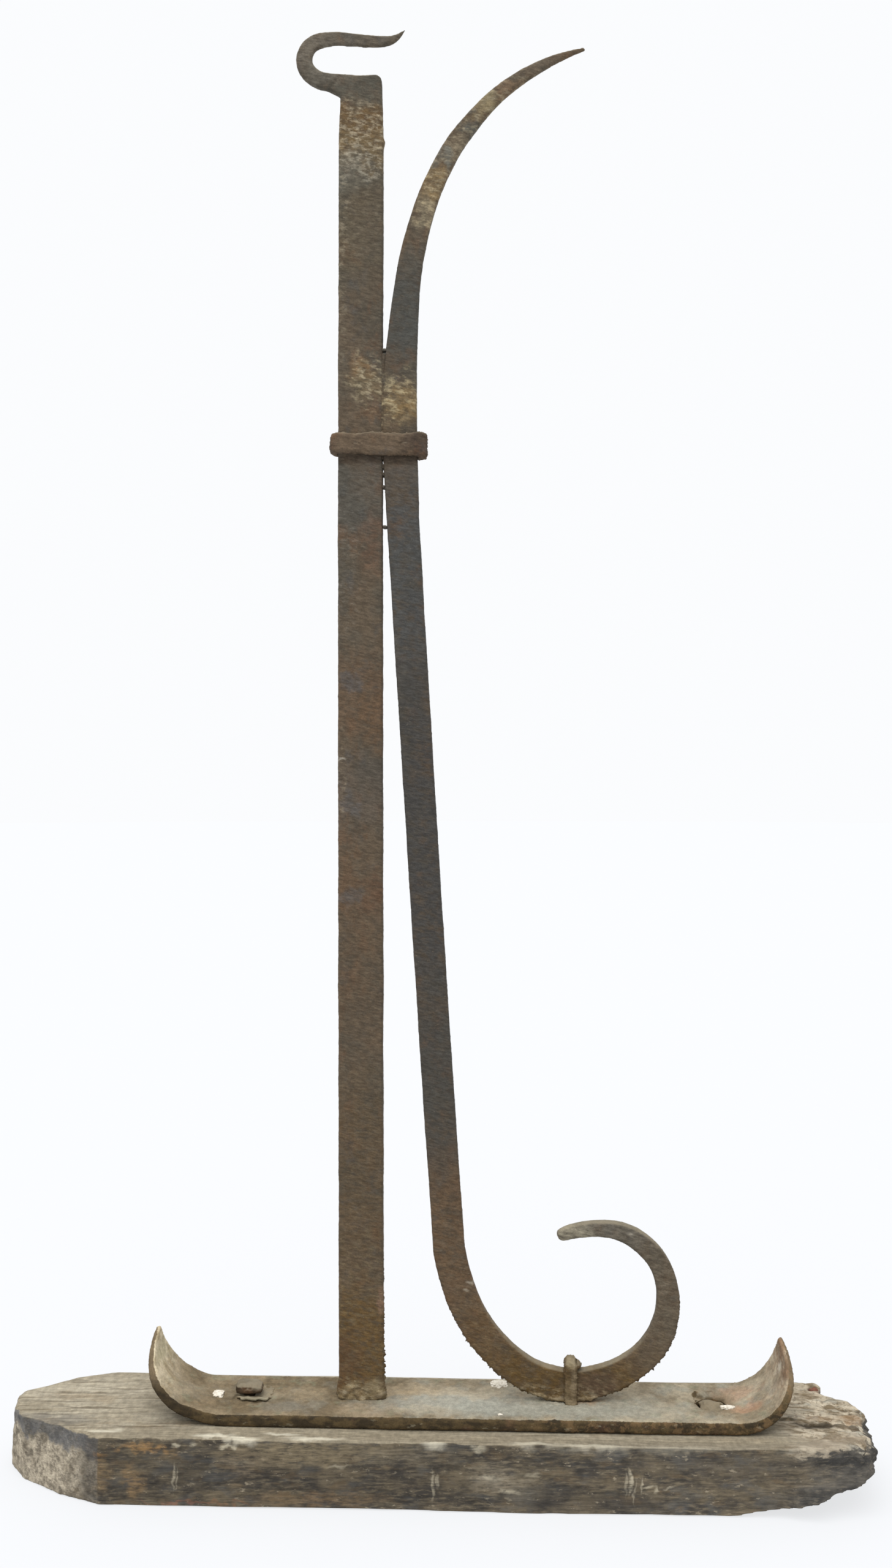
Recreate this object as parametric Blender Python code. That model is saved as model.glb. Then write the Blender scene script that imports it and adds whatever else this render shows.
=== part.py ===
"""Antique wrought iron hook bracket, nailed to a block of weathered timber.

A flat upright bar, forged into a hook at its top, and a scrolled brace stand on an iron
plate whose pointed ends curl up. A collar binds the two bars, and a clip holds the scroll.

Frame: X along the block, Y through its depth, Z up. The origin is at the middle of the
block's underside. Lengths are in metres.
"""
import math

import bmesh
import bpy
from mathutils import Matrix, Vector

# Fit between touching solids.
FIT = 0.0003

# Timber block.
TIMBER_HEIGHT = 0.038
TIMBER_HALF_DEPTH = 0.0425
TIMBER_ARRIS = 0.0010
BULGE_Z = 0.021
BREAK_TURN = math.radians(-6)

# The ironwork stands a little in front of the middle of the block.
IRON_PLACE = (0, -0.0025, 0)

# Iron plate on the block.
PLATE_THICKNESS = 0.007
PLATE_HALF_WIDTH = 0.026
PLATE_BOTTOM = TIMBER_HEIGHT + FIT
PLATE_TOP = PLATE_BOTTOM + PLATE_THICKNESS
PLATE_ARRIS = 0.0009
PLATE_ARRIS_SHARE = 0.3
CUTTER_OVERLAP = 0.004
TIP_THICKNESS = 0.0022
TIP_HALF_WIDTH = 0.0006
LEFT_CURL = {"start_x": -0.1281, "radius": 0.0327, "sweep": math.radians(106), "fullness": 3.3}
RIGHT_CURL = {"start_x": 0.1718, "radius": 0.0293, "sweep": math.radians(113), "fullness": 4.3}
CURL_STEPS = 16
CURL_THINNING = 1.5

# Flat bars, both from quarter-inch stock.
BAR_THICKNESS = 0.00635
BAR_ARRIS = 0.0007
ARRIS_WIDTH_SHARE = 0.22
ARRIS_THICKNESS_SHARE = 0.3
CURVE_STEPS = 4

# Upright bar with its hook and its tenon.
UPRIGHT_X = -0.0415
UPRIGHT_BOW = -0.0005
UPRIGHT_HALF_WIDTH = 0.0127
UPRIGHT_FOOT_Z = PLATE_TOP + FIT
SHOULDER_Z = 0.8092
SHOULDER_RADIUS = 0.0032
NECK_Z = 0.7965
NECK_LENGTH = 0.025
NECK_INSET = 0.0010
FILLET_RADIUS = 0.0035
FILLET_SWEEP = 60
FILLET_END = 80
ROOT_THICKNESS = 0.0056
TURN_STEPS = 4
TENON_HALF_WIDTH = 0.0080
TENON_PEEN = 0.0016

# Hook centreline from its root to its tip: x, z, width, thickness.
HOOK_LINE = [
    (-0.0600, 0.8066, 0.0091, 0.0050),
    (-0.0655, 0.8079, 0.0090, 0.0047),
    (-0.0705, 0.8110, 0.0089, 0.0044),
    (-0.0740, 0.8157, 0.0090, 0.0041),
    (-0.0746, 0.8217, 0.0089, 0.0038),
    (-0.0716, 0.8276, 0.0085, 0.0036),
    (-0.0655, 0.8309, 0.0081, 0.0034),
    (-0.0565, 0.8318, 0.0073, 0.0033),
    (-0.0465, 0.8310, 0.0067, 0.0032),
    (-0.0370, 0.8300, 0.0062, 0.0031),
    (-0.0282, 0.8298, 0.0054, 0.0030),
    (-0.0217, 0.8315, 0.0036, 0.0027),
    (-0.0155, 0.8366, 0.0008, 0.0022),
]

# Brace centreline from the tip of its horn to the end of its scroll: x, z, width, thickness.
LEG_WIDTH = 0.0176
BRACE_LINE = [
    (0.0872, 0.8230, 0.0012, 0.0020),
    (0.0761, 0.8196, 0.0036, 0.0028),
    (0.0638, 0.8145, 0.0055, 0.0036),
    (0.0487, 0.8060, 0.0074, 0.0042),
    (0.0342, 0.7948, 0.0084, 0.0046),
    (0.0213, 0.7808, 0.0096, 0.0050),
    (0.0108, 0.7667, 0.0104, 0.0053),
    (-0.0001, 0.7454, 0.0112, 0.0057),
    (-0.0074, 0.7242, 0.0124, 0.0060),
    (-0.0126, 0.7030, 0.0137, 0.0062),
    (-0.0155, 0.6820, 0.0149, BAR_THICKNESS),
    (-0.0175, 0.6580, 0.0168, BAR_THICKNESS),
    (-0.0191, 0.6320, 0.0190, BAR_THICKNESS),
    (-0.0191, 0.5960, 0.0194, BAR_THICKNESS),
    (-0.0178, 0.5650, 0.0188, BAR_THICKNESS),
    (-0.0162, 0.5340, 0.0180, BAR_THICKNESS),
    (-0.0077, 0.3930, LEG_WIDTH, BAR_THICKNESS),
    (0.0011, 0.2520, LEG_WIDTH, BAR_THICKNESS),
    (0.0079, 0.1530, LEG_WIDTH, BAR_THICKNESS),
    (0.0107, 0.1245, 0.0180, BAR_THICKNESS),
    (0.0202, 0.0965, 0.0178, BAR_THICKNESS),
    (0.0350, 0.0754, 0.0176, BAR_THICKNESS),
    (0.0546, 0.0600, 0.0174, BAR_THICKNESS),
    (0.0780, 0.0542, 0.0172, BAR_THICKNESS),
    (0.1008, 0.0586, 0.0162, BAR_THICKNESS),
    (0.1183, 0.0684, 0.0152, BAR_THICKNESS),
    (0.1294, 0.0815, 0.0144, BAR_THICKNESS),
    (0.1344, 0.0960, 0.0131, BAR_THICKNESS),
    (0.1345, 0.1110, 0.0121, BAR_THICKNESS),
    (0.1297, 0.1252, 0.0114, BAR_THICKNESS),
    (0.1199, 0.1362, 0.0107, BAR_THICKNESS),
    (0.1080, 0.1427, 0.0095, BAR_THICKNESS),
    (0.0945, 0.1443, 0.0081, 0.0062),
    (0.0820, 0.1428, 0.0071, 0.0060),
    (0.0742, 0.1405, 0.0056, 0.0056),
    (0.0722, 0.1397, 0.0030, 0.0040),
]

# Collar around both bars.
COLLAR_Z = 0.5960
COLLAR_HALF_HEIGHT = 0.0060
COLLAR_HALF_DEPTH = 0.0062
COLLAR_LEFT = -0.0593
COLLAR_RIGHT = -0.0035
COLLAR_MOUTH_LEFT = -0.0551
COLLAR_MOUTH_RIGHT = -0.0088
COLLAR_TILT = math.radians(1.2)
COLLAR_CORNER = 0.7
COLLAR_ARRIS = 0.0020

# Clip over the foot of the scroll.
CLIP_X = 0.0793
CLIP_HALF_WIDTH = 0.0033
CLIP_THICKNESS = 0.0030
CLIP_ARRIS = 0.0008
CLIP_ARCH_Z = 0.0643
CLIP_INNER = BAR_THICKNESS / 2 + FIT
CLIP_ARCH_STEPS = 12

# Nails. A head is a list of half width, half depth, and height above its seat.
NAIL_CORNER = 0.35
SHANK_HALF_WIDTH = 0.0027
SHANK_TIP_HALF_WIDTH = 0.0010
SHANK_TIP_Z = 0.008
NAIL_SLOT = SHANK_HALF_WIDTH + 0.0008
LEFT_NAIL = Vector((-0.1068, 0.0009))
ROVE_HALF = Vector((0.0104, 0.0104))
ROVE_SHIFT = Vector((0.0038, 0.0010))
ROVE_CORNER = 0.5
ROVE_THICKNESS = 0.0013
ROVE_LIFT = math.radians(2.5)
ROVE_MIDDLE = PLATE_TOP + FIT + ROVE_THICKNESS / 2 + ROVE_HALF.y * math.sin(ROVE_LIFT)
LEFT_HEAD_SEAT = ROVE_MIDDLE + ROVE_THICKNESS / 2 + FIT + ROVE_HALF.y * math.sin(ROVE_LIFT)
LEFT_HEAD = [(0.0070, 0.0059, 0), (0.0073, 0.0061, 0.0012)]
LEFT_HEAD += [(0.0069, 0.0057, 0.0034), (0.0050, 0.0040, 0.0046)]
RIGHT_NAIL = Vector((0.1606, 0.0030))
RIGHT_HEAD = [(0.0054, 0.0050, 0.0010), (0.0056, 0.0052, 0.0034), (0.0034, 0.0032, 0.0052)]
RIGHT_HOLE = Vector((0.1600, 0.0010))
RIGHT_HOLE_RADIUS = 0.0088
RIGHT_HOLE_SIDES = 32
STUB = Vector((0.2254, 0.0335))
STUB_RADIUS = 0.0023
STUB_SIDES = 12
STUB_TOP = TIMBER_HEIGHT + 0.0012
STUB_BOTTOM = 0.022


def material(name, colour, roughness, metallic):
    """A plain Principled material."""
    made = bpy.data.materials.new(name)
    made.use_nodes = True
    shader = made.node_tree.nodes["Principled BSDF"]
    shader.inputs["Base Color"].default_value = (*colour, 1)
    shader.inputs["Roughness"].default_value = roughness
    shader.inputs["Metallic"].default_value = metallic
    return made


def finish(name, bm, surface):
    """Turn a bmesh into a named object with its material."""
    bmesh.ops.recalc_face_normals(bm, faces=bm.faces)
    mesh = bpy.data.meshes.new(name)
    bm.to_mesh(mesh)
    bm.free()
    mesh.shade_smooth()
    mesh.set_sharp_from_angle(angle=math.radians(35))
    mesh.materials.append(surface)
    made = bpy.data.objects.new(name, mesh)
    bpy.context.collection.objects.link(made)
    return made


def loft(name, rings, surface):
    """One closed body through rings of points, with a cap at each end."""
    bm = bmesh.new()
    loops = [[bm.verts.new(point) for point in ring] for ring in rings]
    for low, high in zip(loops, loops[1:]):
        for i in range(len(low)):
            j = (i + 1) % len(low)
            bm.faces.new((low[i], low[j], high[j], high[i]))
    bm.faces.new(loops[0])
    bm.faces.new(loops[-1])
    return finish(name, bm, surface)


def cut(target, cutter):
    """Take the cutter's shape out of the target."""
    cutter.hide_render = True
    cutter.display_type = "WIRE"
    modifier = target.modifiers.new(cutter.name, "BOOLEAN")
    modifier.object = cutter
    modifier.operation = "DIFFERENCE"
    modifier.solver = "EXACT"


def soften(target, width, segments=2):
    """Round the sharp edges a little."""
    modifier = target.modifiers.new("arris", "BEVEL")
    modifier.width = width
    modifier.segments = segments
    modifier.limit_method = "ANGLE"
    modifier.angle_limit = math.radians(40)


def station(left, right, thickness):
    """A bar's cross-section between two edge points in the XZ plane, with its chamfers."""
    across = right - left
    width = across.length
    chamfer = min(BAR_ARRIS, ARRIS_WIDTH_SHARE * width, ARRIS_THICKNESS_SHARE * thickness)
    step = across / width * chamfer
    face = thickness / 2
    corners = [(left + step, -face), (right - step, -face)]
    corners += [(right, chamfer - face), (right, face - chamfer)]
    corners += [(right - step, face), (left + step, face), (left, face - chamfer), (left, chamfer - face)]
    return [Vector((flat.x, y, flat.y)) for flat, y in corners]


def spline(before, start, end, after, t):
    """A point on a Catmull-Rom curve between start and end."""
    a = 2 * start
    b = end - before
    c = 2 * before - 5 * start + 4 * end - after
    d = 3 * start - before - 3 * end + after
    return (a + b * t + c * t * t + d * t ** 3) / 2


def ribbon(line):
    """Cross-sections along a smooth centreline of x, z, width and thickness."""
    knots = [Vector(knot) for knot in line]
    knots = [2 * knots[0] - knots[1]] + knots + [2 * knots[-1] - knots[-2]]
    samples = []
    for before, start, end, after in zip(knots, knots[1:], knots[2:], knots[3:]):
        samples += [spline(before, start, end, after, i / CURVE_STEPS) for i in range(CURVE_STEPS)]
    samples.append(knots[-2])
    rings = []
    for i, sample in enumerate(samples):
        ahead = samples[min(i + 1, len(samples) - 1)]
        behind = samples[max(i - 1, 0)]
        along = (ahead - behind).xy.normalized()
        side = Vector((along.y, -along.x)) * sample.z / 2
        rings.append(station(sample.xy - side, sample.xy + side, sample.w))
    return rings


def level(half_width, z, thickness=BAR_THICKNESS, bow=0):
    """A level cross-section of the upright."""
    middle = UPRIGHT_X + bow
    return station(Vector((middle - half_width, z)), Vector((middle + half_width, z)), thickness)


def tenon(fit, low, high):
    """Cross-sections of the tenon, wider below, where it is hammered over."""
    rings = []
    for z in (low, high):
        half_width = TENON_HALF_WIDTH + TENON_PEEN * (PLATE_TOP - z) / PLATE_THICKNESS + fit
        rings.append(level(half_width, z, BAR_THICKNESS + 2 * fit))
    return rings


def round_point(centre, radius, degrees):
    """A point on a circle in the XZ plane."""
    angle = math.radians(degrees)
    return centre + radius * Vector((math.cos(angle), math.sin(angle)))


def box(name, low, high, surface):
    """A plain box between two corners."""
    bm = bmesh.new()
    middle = (Vector(low) + Vector(high)) / 2
    size = Vector(high) - Vector(low)
    bmesh.ops.create_cube(bm, size=1, matrix=Matrix.Translation(middle) @ Matrix.Diagonal((*size, 1)))
    return finish(name, bm, surface)


def post(name, centre, radius, low, high, sides, surface):
    """An upright round post."""
    rings = []
    for z in (low, high):
        ring = [round_point(centre, radius, 360 * i / sides) for i in range(sides)]
        rings.append([Vector((point.x, point.y, z)) for point in ring])
    return loft(name, rings, surface)


def rounded_square(centre, half_x, half_y, z, corner=NAIL_CORNER, steps=3):
    """A level ring in the shape of a square with round corners."""
    radius = corner * min(half_x, half_y)
    points = []
    for turn, (side_x, side_y) in enumerate(((1, 1), (-1, 1), (-1, -1), (1, -1))):
        middle = centre + Vector((side_x * (half_x - radius), side_y * (half_y - radius)))
        for i in range(steps + 1):
            point = round_point(middle, radius, 90 * (turn + i / steps))
            points.append(Vector((point.x, point.y, z)))
    return points


def shank_rings(centre, top, fit=0):
    """A square nail shank, tapering down to a blunt point, with a fit all round for its hole."""
    rings = []
    for half_width, z in ((SHANK_TIP_HALF_WIDTH, SHANK_TIP_Z - fit), (SHANK_HALF_WIDTH, top)):
        rings.append(rounded_square(centre, half_width + fit, half_width + fit, z))
    return rings


def nail_hole(name, centre, top, surface):
    """A cutter with the shape of a shank whose full width is at a height, and a fit all round."""
    rings = shank_rings(centre, top, FIT)
    above = SHANK_HALF_WIDTH + FIT
    rings.append(rounded_square(centre, above, above, LEFT_HEAD_SEAT))
    return loft(name, rings, surface)


def make_timber(wood):
    """The block: chamfered at its left end, stepped and broken away at its right end."""
    half = TIMBER_HALF_DEPTH
    left_above = [(-0.1966, half), (-0.2166, 0.0354), (-0.2336, 0.0215), (-0.2446, 0.0150)]
    left_above += [(-0.2458, 0.0070), (-0.2426, -0.0080), (-0.2356, -0.0170)]
    left_above += [(-0.2046, -0.0310), (-0.1836, -half)]
    left_below = [(-0.1956, half), (-0.2196, 0.0365), (-0.2386, 0.0250), (-0.2496, 0.0180)]
    left_below += [(-0.2506, 0.0100), (-0.2466, -0.0020), (-0.2356, -0.0160)]
    left_below += [(-0.2096, -0.0320), (-0.1836, -half)]
    left_middle = []
    for below, above in zip(left_below, left_above):
        left_middle.append(((below[0] + above[0]) / 2, (below[1] + above[1]) / 2))
    right_back = [(0.2452, 0.0188), (0.2389, 0.0224), (0.2304, 0.0260), (0.2296, 0.0340)]
    right_back += [(0.2252, 0.0395), (0.2164, half)]
    right_end = [(0.1984, -half), (0.2349, -0.0380), (0.2416, -0.0320), (0.2436, -0.0130)]
    right_end += [(0.2460, 0.0036), (0.2474, 0.0130)] + right_back
    right_bulge = [(0.2004, -half), (0.2379, -0.0384), (0.2461, -0.0325), (0.2496, -0.0170)]
    right_bulge += [(0.2510, 0.0010), (0.2498, 0.0120)] + right_back
    rings = []
    for outline, z in ((left_below + right_end, 0), (left_middle + right_bulge, BULGE_Z)):
        rings.append([Vector((x, y, z)) for x, y in outline])
    rings.append([Vector((x, y, TIMBER_HEIGHT)) for x, y in left_above + right_end])
    timber = loft("timber_base", rings, wood)
    soften(timber, TIMBER_ARRIS, segments=1)
    under = [(0.1544, -0.0020), (0.1764, 0.0024), (0.1924, 0.0050), (0.2094, 0.0092), (0.2254, 0.0148)]
    under += [(0.2394, 0.0200), (0.2564, 0.0300), (0.2564, -0.0020)]
    rings = [[Vector((x, side * 2 * half, z)) for x, z in under] for side in (-1, 1)]
    broken = loft("broken_corner", rings, wood)
    pivot = Matrix.Translation((under[0][0], -half, 0))
    broken.matrix_basis = pivot @ Matrix.Rotation(BREAK_TURN, 4, "Z") @ pivot.inverted()
    cut(timber, broken)
    return timber


def drill_timber(timber, wood):
    """The holes that the nails made in the block."""
    cut(timber, nail_hole("left_shank_hole", LEFT_NAIL, LEFT_HEAD_SEAT - FIT, wood))
    cut(timber, nail_hole("right_shank_hole", RIGHT_NAIL, PLATE_BOTTOM, wood))
    reach = STUB_RADIUS + FIT
    cut(timber, post("stub_hole", STUB, reach, STUB_BOTTOM - FIT, LEFT_HEAD_SEAT, STUB_SIDES, wood))


def plate_ring(x, z, turn, half_width, thickness):
    """One cross-section of the plate, leaning back by an angle about Y."""
    half = thickness / 2
    chamfer = min(PLATE_ARRIS, PLATE_ARRIS_SHARE * half_width)
    corners = [(chamfer - half_width, -half), (half_width - chamfer, -half)]
    corners += [(half_width, chamfer - half), (half_width, half - chamfer)]
    corners += [(half_width - chamfer, half), (chamfer - half_width, half)]
    corners += [(-half_width, half - chamfer), (-half_width, chamfer - half)]
    return [Vector((x - up * math.sin(turn), y, z + up * math.cos(turn))) for y, up in corners]


def curl(shape, direction):
    """Sections of one upturned end, from the flat to its point."""
    rings = []
    flat_z = PLATE_BOTTOM + PLATE_THICKNESS / 2
    for i in range(1, CURL_STEPS + 1):
        share = i / CURL_STEPS
        turn = shape["sweep"] * share
        x = shape["start_x"] + direction * shape["radius"] * math.sin(turn)
        z = flat_z + shape["radius"] * (1 - math.cos(turn))
        width = TIP_HALF_WIDTH + (PLATE_HALF_WIDTH - TIP_HALF_WIDTH) * (1 - share ** shape["fullness"])
        thickness = PLATE_THICKNESS + (TIP_THICKNESS - PLATE_THICKNESS) * share ** CURL_THINNING
        rings.append(plate_ring(x, z, direction * turn, width, thickness))
    return rings


def make_plate(iron):
    """The plate on the block, with pointed ends that curl up, and its holes."""
    flat_z = PLATE_BOTTOM + PLATE_THICKNESS / 2
    flat = []
    for shape in (LEFT_CURL, RIGHT_CURL):
        flat.append(plate_ring(shape["start_x"], flat_z, 0, PLATE_HALF_WIDTH, PLATE_THICKNESS))
    left = curl(LEFT_CURL, -1)
    plate = loft("wall_plate", left[::-1] + flat + curl(RIGHT_CURL, 1), iron)
    over = PLATE_TOP + CUTTER_OVERLAP
    under = PLATE_BOTTOM - CUTTER_OVERLAP
    cut(plate, loft("mortise", tenon(FIT, under, over), iron))
    inner = CLIP_INNER - FIT
    outer = CLIP_INNER + CLIP_THICKNESS + FIT
    for name, near, far in (("front_slot", -outer, -inner), ("back_slot", inner, outer)):
        low = (CLIP_X - CLIP_HALF_WIDTH - FIT, near, under)
        high = (CLIP_X + CLIP_HALF_WIDTH + FIT, far, over)
        cut(plate, box(name, low, high, iron))
    low = (LEFT_NAIL.x - NAIL_SLOT, LEFT_NAIL.y - NAIL_SLOT, under)
    high = (LEFT_NAIL.x + NAIL_SLOT, LEFT_NAIL.y + NAIL_SLOT, over)
    cut(plate, box("left_nail_hole", low, high, iron))
    wide = post("right_nail_hole", RIGHT_HOLE, RIGHT_HOLE_RADIUS, under, over, RIGHT_HOLE_SIDES, iron)
    cut(plate, wide)
    return plate


def make_upright(iron):
    """The upright: a tenon below, a square shoulder above, and a hook drawn out to the left."""
    left = UPRIGHT_X - UPRIGHT_HALF_WIDTH + NECK_INSET
    right = UPRIGHT_X + UPRIGHT_HALF_WIDTH - NECK_INSET
    rings = tenon(0, PLATE_BOTTOM + FIT, UPRIGHT_FOOT_Z)
    rings.append(level(UPRIGHT_HALF_WIDTH, UPRIGHT_FOOT_Z))
    rings.append(level(UPRIGHT_HALF_WIDTH, COLLAR_Z, bow=UPRIGHT_BOW))
    rings.append(level(UPRIGHT_HALF_WIDTH, NECK_Z - NECK_LENGTH))
    fillet = Vector((left - FILLET_RADIUS, NECK_Z))
    corner = Vector((right - SHOULDER_RADIUS, SHOULDER_Z - SHOULDER_RADIUS))
    for i in range(TURN_STEPS + 1):
        below = round_point(fillet, FILLET_RADIUS, FILLET_SWEEP * i / TURN_STEPS)
        above = round_point(corner, SHOULDER_RADIUS, 90 * i / TURN_STEPS)
        rings.append(station(below, above, BAR_THICKNESS))
    below = round_point(fillet, FILLET_RADIUS, FILLET_END)
    rings.append(station(below, Vector((UPRIGHT_X, SHOULDER_Z)), ROOT_THICKNESS))
    return loft("upright_bar", rings + ribbon(HOOK_LINE), iron)


def make_brace(iron):
    """The brace: a curved horn, a straight leg, and a tapering scroll with a round end."""
    return loft("scroll_brace", ribbon(BRACE_LINE), iron)


def make_collar(iron):
    """The band around both bars, tilted a little."""
    middle = Vector(((COLLAR_LEFT + COLLAR_RIGHT) / 2, 0))
    half = (COLLAR_RIGHT - COLLAR_LEFT) / 2
    rings = []
    for z in (-COLLAR_HALF_HEIGHT, COLLAR_HALF_HEIGHT):
        rings.append(rounded_square(middle, half, COLLAR_HALF_DEPTH, z, corner=COLLAR_CORNER, steps=5))
    collar = loft("bar_collar", rings, iron)
    soften(collar, COLLAR_ARRIS)
    mouth = BAR_THICKNESS / 2 + FIT
    low = (COLLAR_MOUTH_LEFT, -mouth, -2 * COLLAR_HALF_HEIGHT)
    high = (COLLAR_MOUTH_RIGHT, mouth, 2 * COLLAR_HALF_HEIGHT)
    opening = box("collar_mouth", low, high, iron)
    lift = Matrix.Translation((0, 0, COLLAR_Z))
    pivot = Matrix.Translation((middle.x, 0, 0))
    collar.matrix_basis = lift @ pivot @ Matrix.Rotation(COLLAR_TILT, 4, "Y") @ pivot.inverted()
    opening.matrix_basis = lift
    cut(collar, opening)
    return collar


def make_clip(iron):
    """The strap over the scroll's foot, with both of its ends through the plate."""
    reach = CLIP_INNER + CLIP_THICKNESS
    end_z = PLATE_BOTTOM + FIT
    inner = [(-CLIP_INNER, end_z)]
    outer = [(-reach, end_z)]
    for i in range(CLIP_ARCH_STEPS + 1):
        angle = math.pi * (1 - i / CLIP_ARCH_STEPS)
        inner.append((CLIP_INNER * math.cos(angle), CLIP_ARCH_Z + CLIP_INNER * math.sin(angle)))
        outer.append((reach * math.cos(angle), CLIP_ARCH_Z + reach * math.sin(angle)))
    inner.append((CLIP_INNER, end_z))
    outer.append((reach, end_z))
    rings = []
    for x in (CLIP_X - CLIP_HALF_WIDTH, CLIP_X + CLIP_HALF_WIDTH):
        rings.append([Vector((x, y, z)) for y, z in outer + inner[::-1]])
    clip = loft("foot_clip", rings, iron)
    soften(clip, CLIP_ARRIS)
    return clip


def make_left_nail(iron):
    """A nail with a thick, domed, four-sided head that stands on its washer."""
    rings = shank_rings(LEFT_NAIL, LEFT_HEAD_SEAT)
    for half_x, half_y, rise in LEFT_HEAD:
        rings.append(rounded_square(LEFT_NAIL, half_x, half_y, LEFT_HEAD_SEAT + rise))
    return loft("left_nail", rings, iron)


def make_left_rove(iron):
    """The thin washer under the head, a little off its middle, its front edge lifted off the plate."""
    rings = []
    for z in (-ROVE_THICKNESS / 2, ROVE_THICKNESS / 2):
        rings.append(rounded_square(ROVE_SHIFT, ROVE_HALF.x, ROVE_HALF.y, z, corner=ROVE_CORNER, steps=4))
    rove = loft("left_rove", rings, iron)
    reach = CUTTER_OVERLAP
    opening = box("rove_hole", (-NAIL_SLOT, -NAIL_SLOT, -reach), (NAIL_SLOT, NAIL_SLOT, reach), iron)
    place = Matrix.Translation((LEFT_NAIL.x, LEFT_NAIL.y, ROVE_MIDDLE))
    rove.matrix_basis = place @ Matrix.Rotation(-ROVE_LIFT, 4, "X")
    opening.matrix_basis = place
    cut(rove, opening)
    return rove


def make_right_nail(iron):
    """A nail whose worn head stands below the plate's face, in a hole too wide for it."""
    rings = shank_rings(RIGHT_NAIL, PLATE_BOTTOM)
    for half_x, half_y, rise in RIGHT_HEAD:
        rings.append(rounded_square(RIGHT_NAIL, half_x, half_y, PLATE_BOTTOM + rise))
    return loft("right_nail", rings, iron)


def build():
    """Make every piece, and stand the ironwork on the block."""
    for old in list(bpy.data.objects):
        bpy.data.objects.remove(old, do_unlink=True)
    wood = material("weathered_timber", (0.16, 0.13, 0.10), 0.85, 0.0)
    timber = make_timber(wood)
    place = bpy.data.objects.new("iron_place", None)
    place.location = IRON_PLACE
    block = set(bpy.data.objects)
    bpy.context.collection.objects.link(place)
    drill_timber(timber, wood)
    make_plate(material("plate_iron", (0.15, 0.12, 0.085), 0.75, 0.3))
    make_upright(material("upright_iron", (0.085, 0.062, 0.045), 0.70, 0.4))
    make_brace(material("brace_iron", (0.065, 0.052, 0.044), 0.68, 0.4))
    make_collar(material("collar_iron", (0.080, 0.056, 0.042), 0.70, 0.4))
    make_clip(material("clip_iron", (0.115, 0.088, 0.058), 0.75, 0.3))
    make_left_nail(material("left_nail_iron", (0.090, 0.065, 0.048), 0.75, 0.3))
    make_left_rove(material("rove_iron", (0.125, 0.100, 0.070), 0.75, 0.3))
    make_right_nail(material("right_nail_iron", (0.100, 0.072, 0.050), 0.75, 0.3))
    stub_iron = material("stub_iron", (0.150, 0.050, 0.030), 0.80, 0.2)
    post("nail_stub", STUB, STUB_RADIUS, STUB_BOTTOM, STUB_TOP, STUB_SIDES, stub_iron)
    for made in set(bpy.data.objects) - block:
        made.parent = place


build()
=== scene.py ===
"""Looks of an antique wrought iron hook bracket, nailed to a block of weathered timber.

Every iron and the block are finely remeshed copies of their CAD solids, worked over with the
marks of the hammer, of rust, of grain and of decay. Lengths are in metres, in the row's frame.
"""
import functools
import math

import bmesh
import bpy
from mathutils import Matrix, Vector, noise


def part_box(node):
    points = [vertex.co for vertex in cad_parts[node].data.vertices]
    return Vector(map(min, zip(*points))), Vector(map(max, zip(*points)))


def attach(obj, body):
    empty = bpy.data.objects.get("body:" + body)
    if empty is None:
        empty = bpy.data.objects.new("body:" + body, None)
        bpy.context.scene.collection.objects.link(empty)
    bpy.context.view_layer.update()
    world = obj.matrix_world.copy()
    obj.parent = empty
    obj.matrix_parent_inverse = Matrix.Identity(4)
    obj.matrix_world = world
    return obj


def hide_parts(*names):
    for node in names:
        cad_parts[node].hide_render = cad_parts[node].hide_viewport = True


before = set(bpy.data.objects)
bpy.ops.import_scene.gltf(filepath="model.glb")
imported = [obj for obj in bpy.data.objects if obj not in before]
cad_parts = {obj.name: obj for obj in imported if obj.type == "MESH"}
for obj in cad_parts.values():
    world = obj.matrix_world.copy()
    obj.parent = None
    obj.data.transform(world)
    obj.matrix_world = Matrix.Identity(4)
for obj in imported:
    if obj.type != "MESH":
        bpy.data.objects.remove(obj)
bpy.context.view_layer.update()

COARSE = 1.0


def node_middle(node):
    """The middle of a CAD node's box."""
    low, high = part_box(node)
    return (Vector(low) + Vector(high)) / 2


BLOCK_LOW, BLOCK_HIGH = (Vector(corner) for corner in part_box("timber_base"))
UPRIGHT_HIGH = Vector(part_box("upright_bar")[1])
COLLAR_LOW, COLLAR_HIGH = (Vector(corner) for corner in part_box("bar_collar"))
CLIP_LOW, CLIP_HIGH = (Vector(corner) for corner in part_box("foot_clip"))
PLATE_TOP_Z = BLOCK_HIGH.z + 0.0073
IRON_Y = node_middle("upright_bar").y
UPRIGHT_X = -0.0415

# The fronts of both bars, as a face for Paint.daub.
BAR_FRONT = ("Y", IRON_Y - 0.003, 0.02)

# The pitch of the fine mesh of each kind of piece.
BLOCK_GRID = 0.0012
IRON_GRID = 0.0008
COLLAR_GRID = 0.0005
SMALL_GRID = 0.0004
STUB_GRID = 0.0003


# Materials ------------------------------------------------------------------------------

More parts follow.
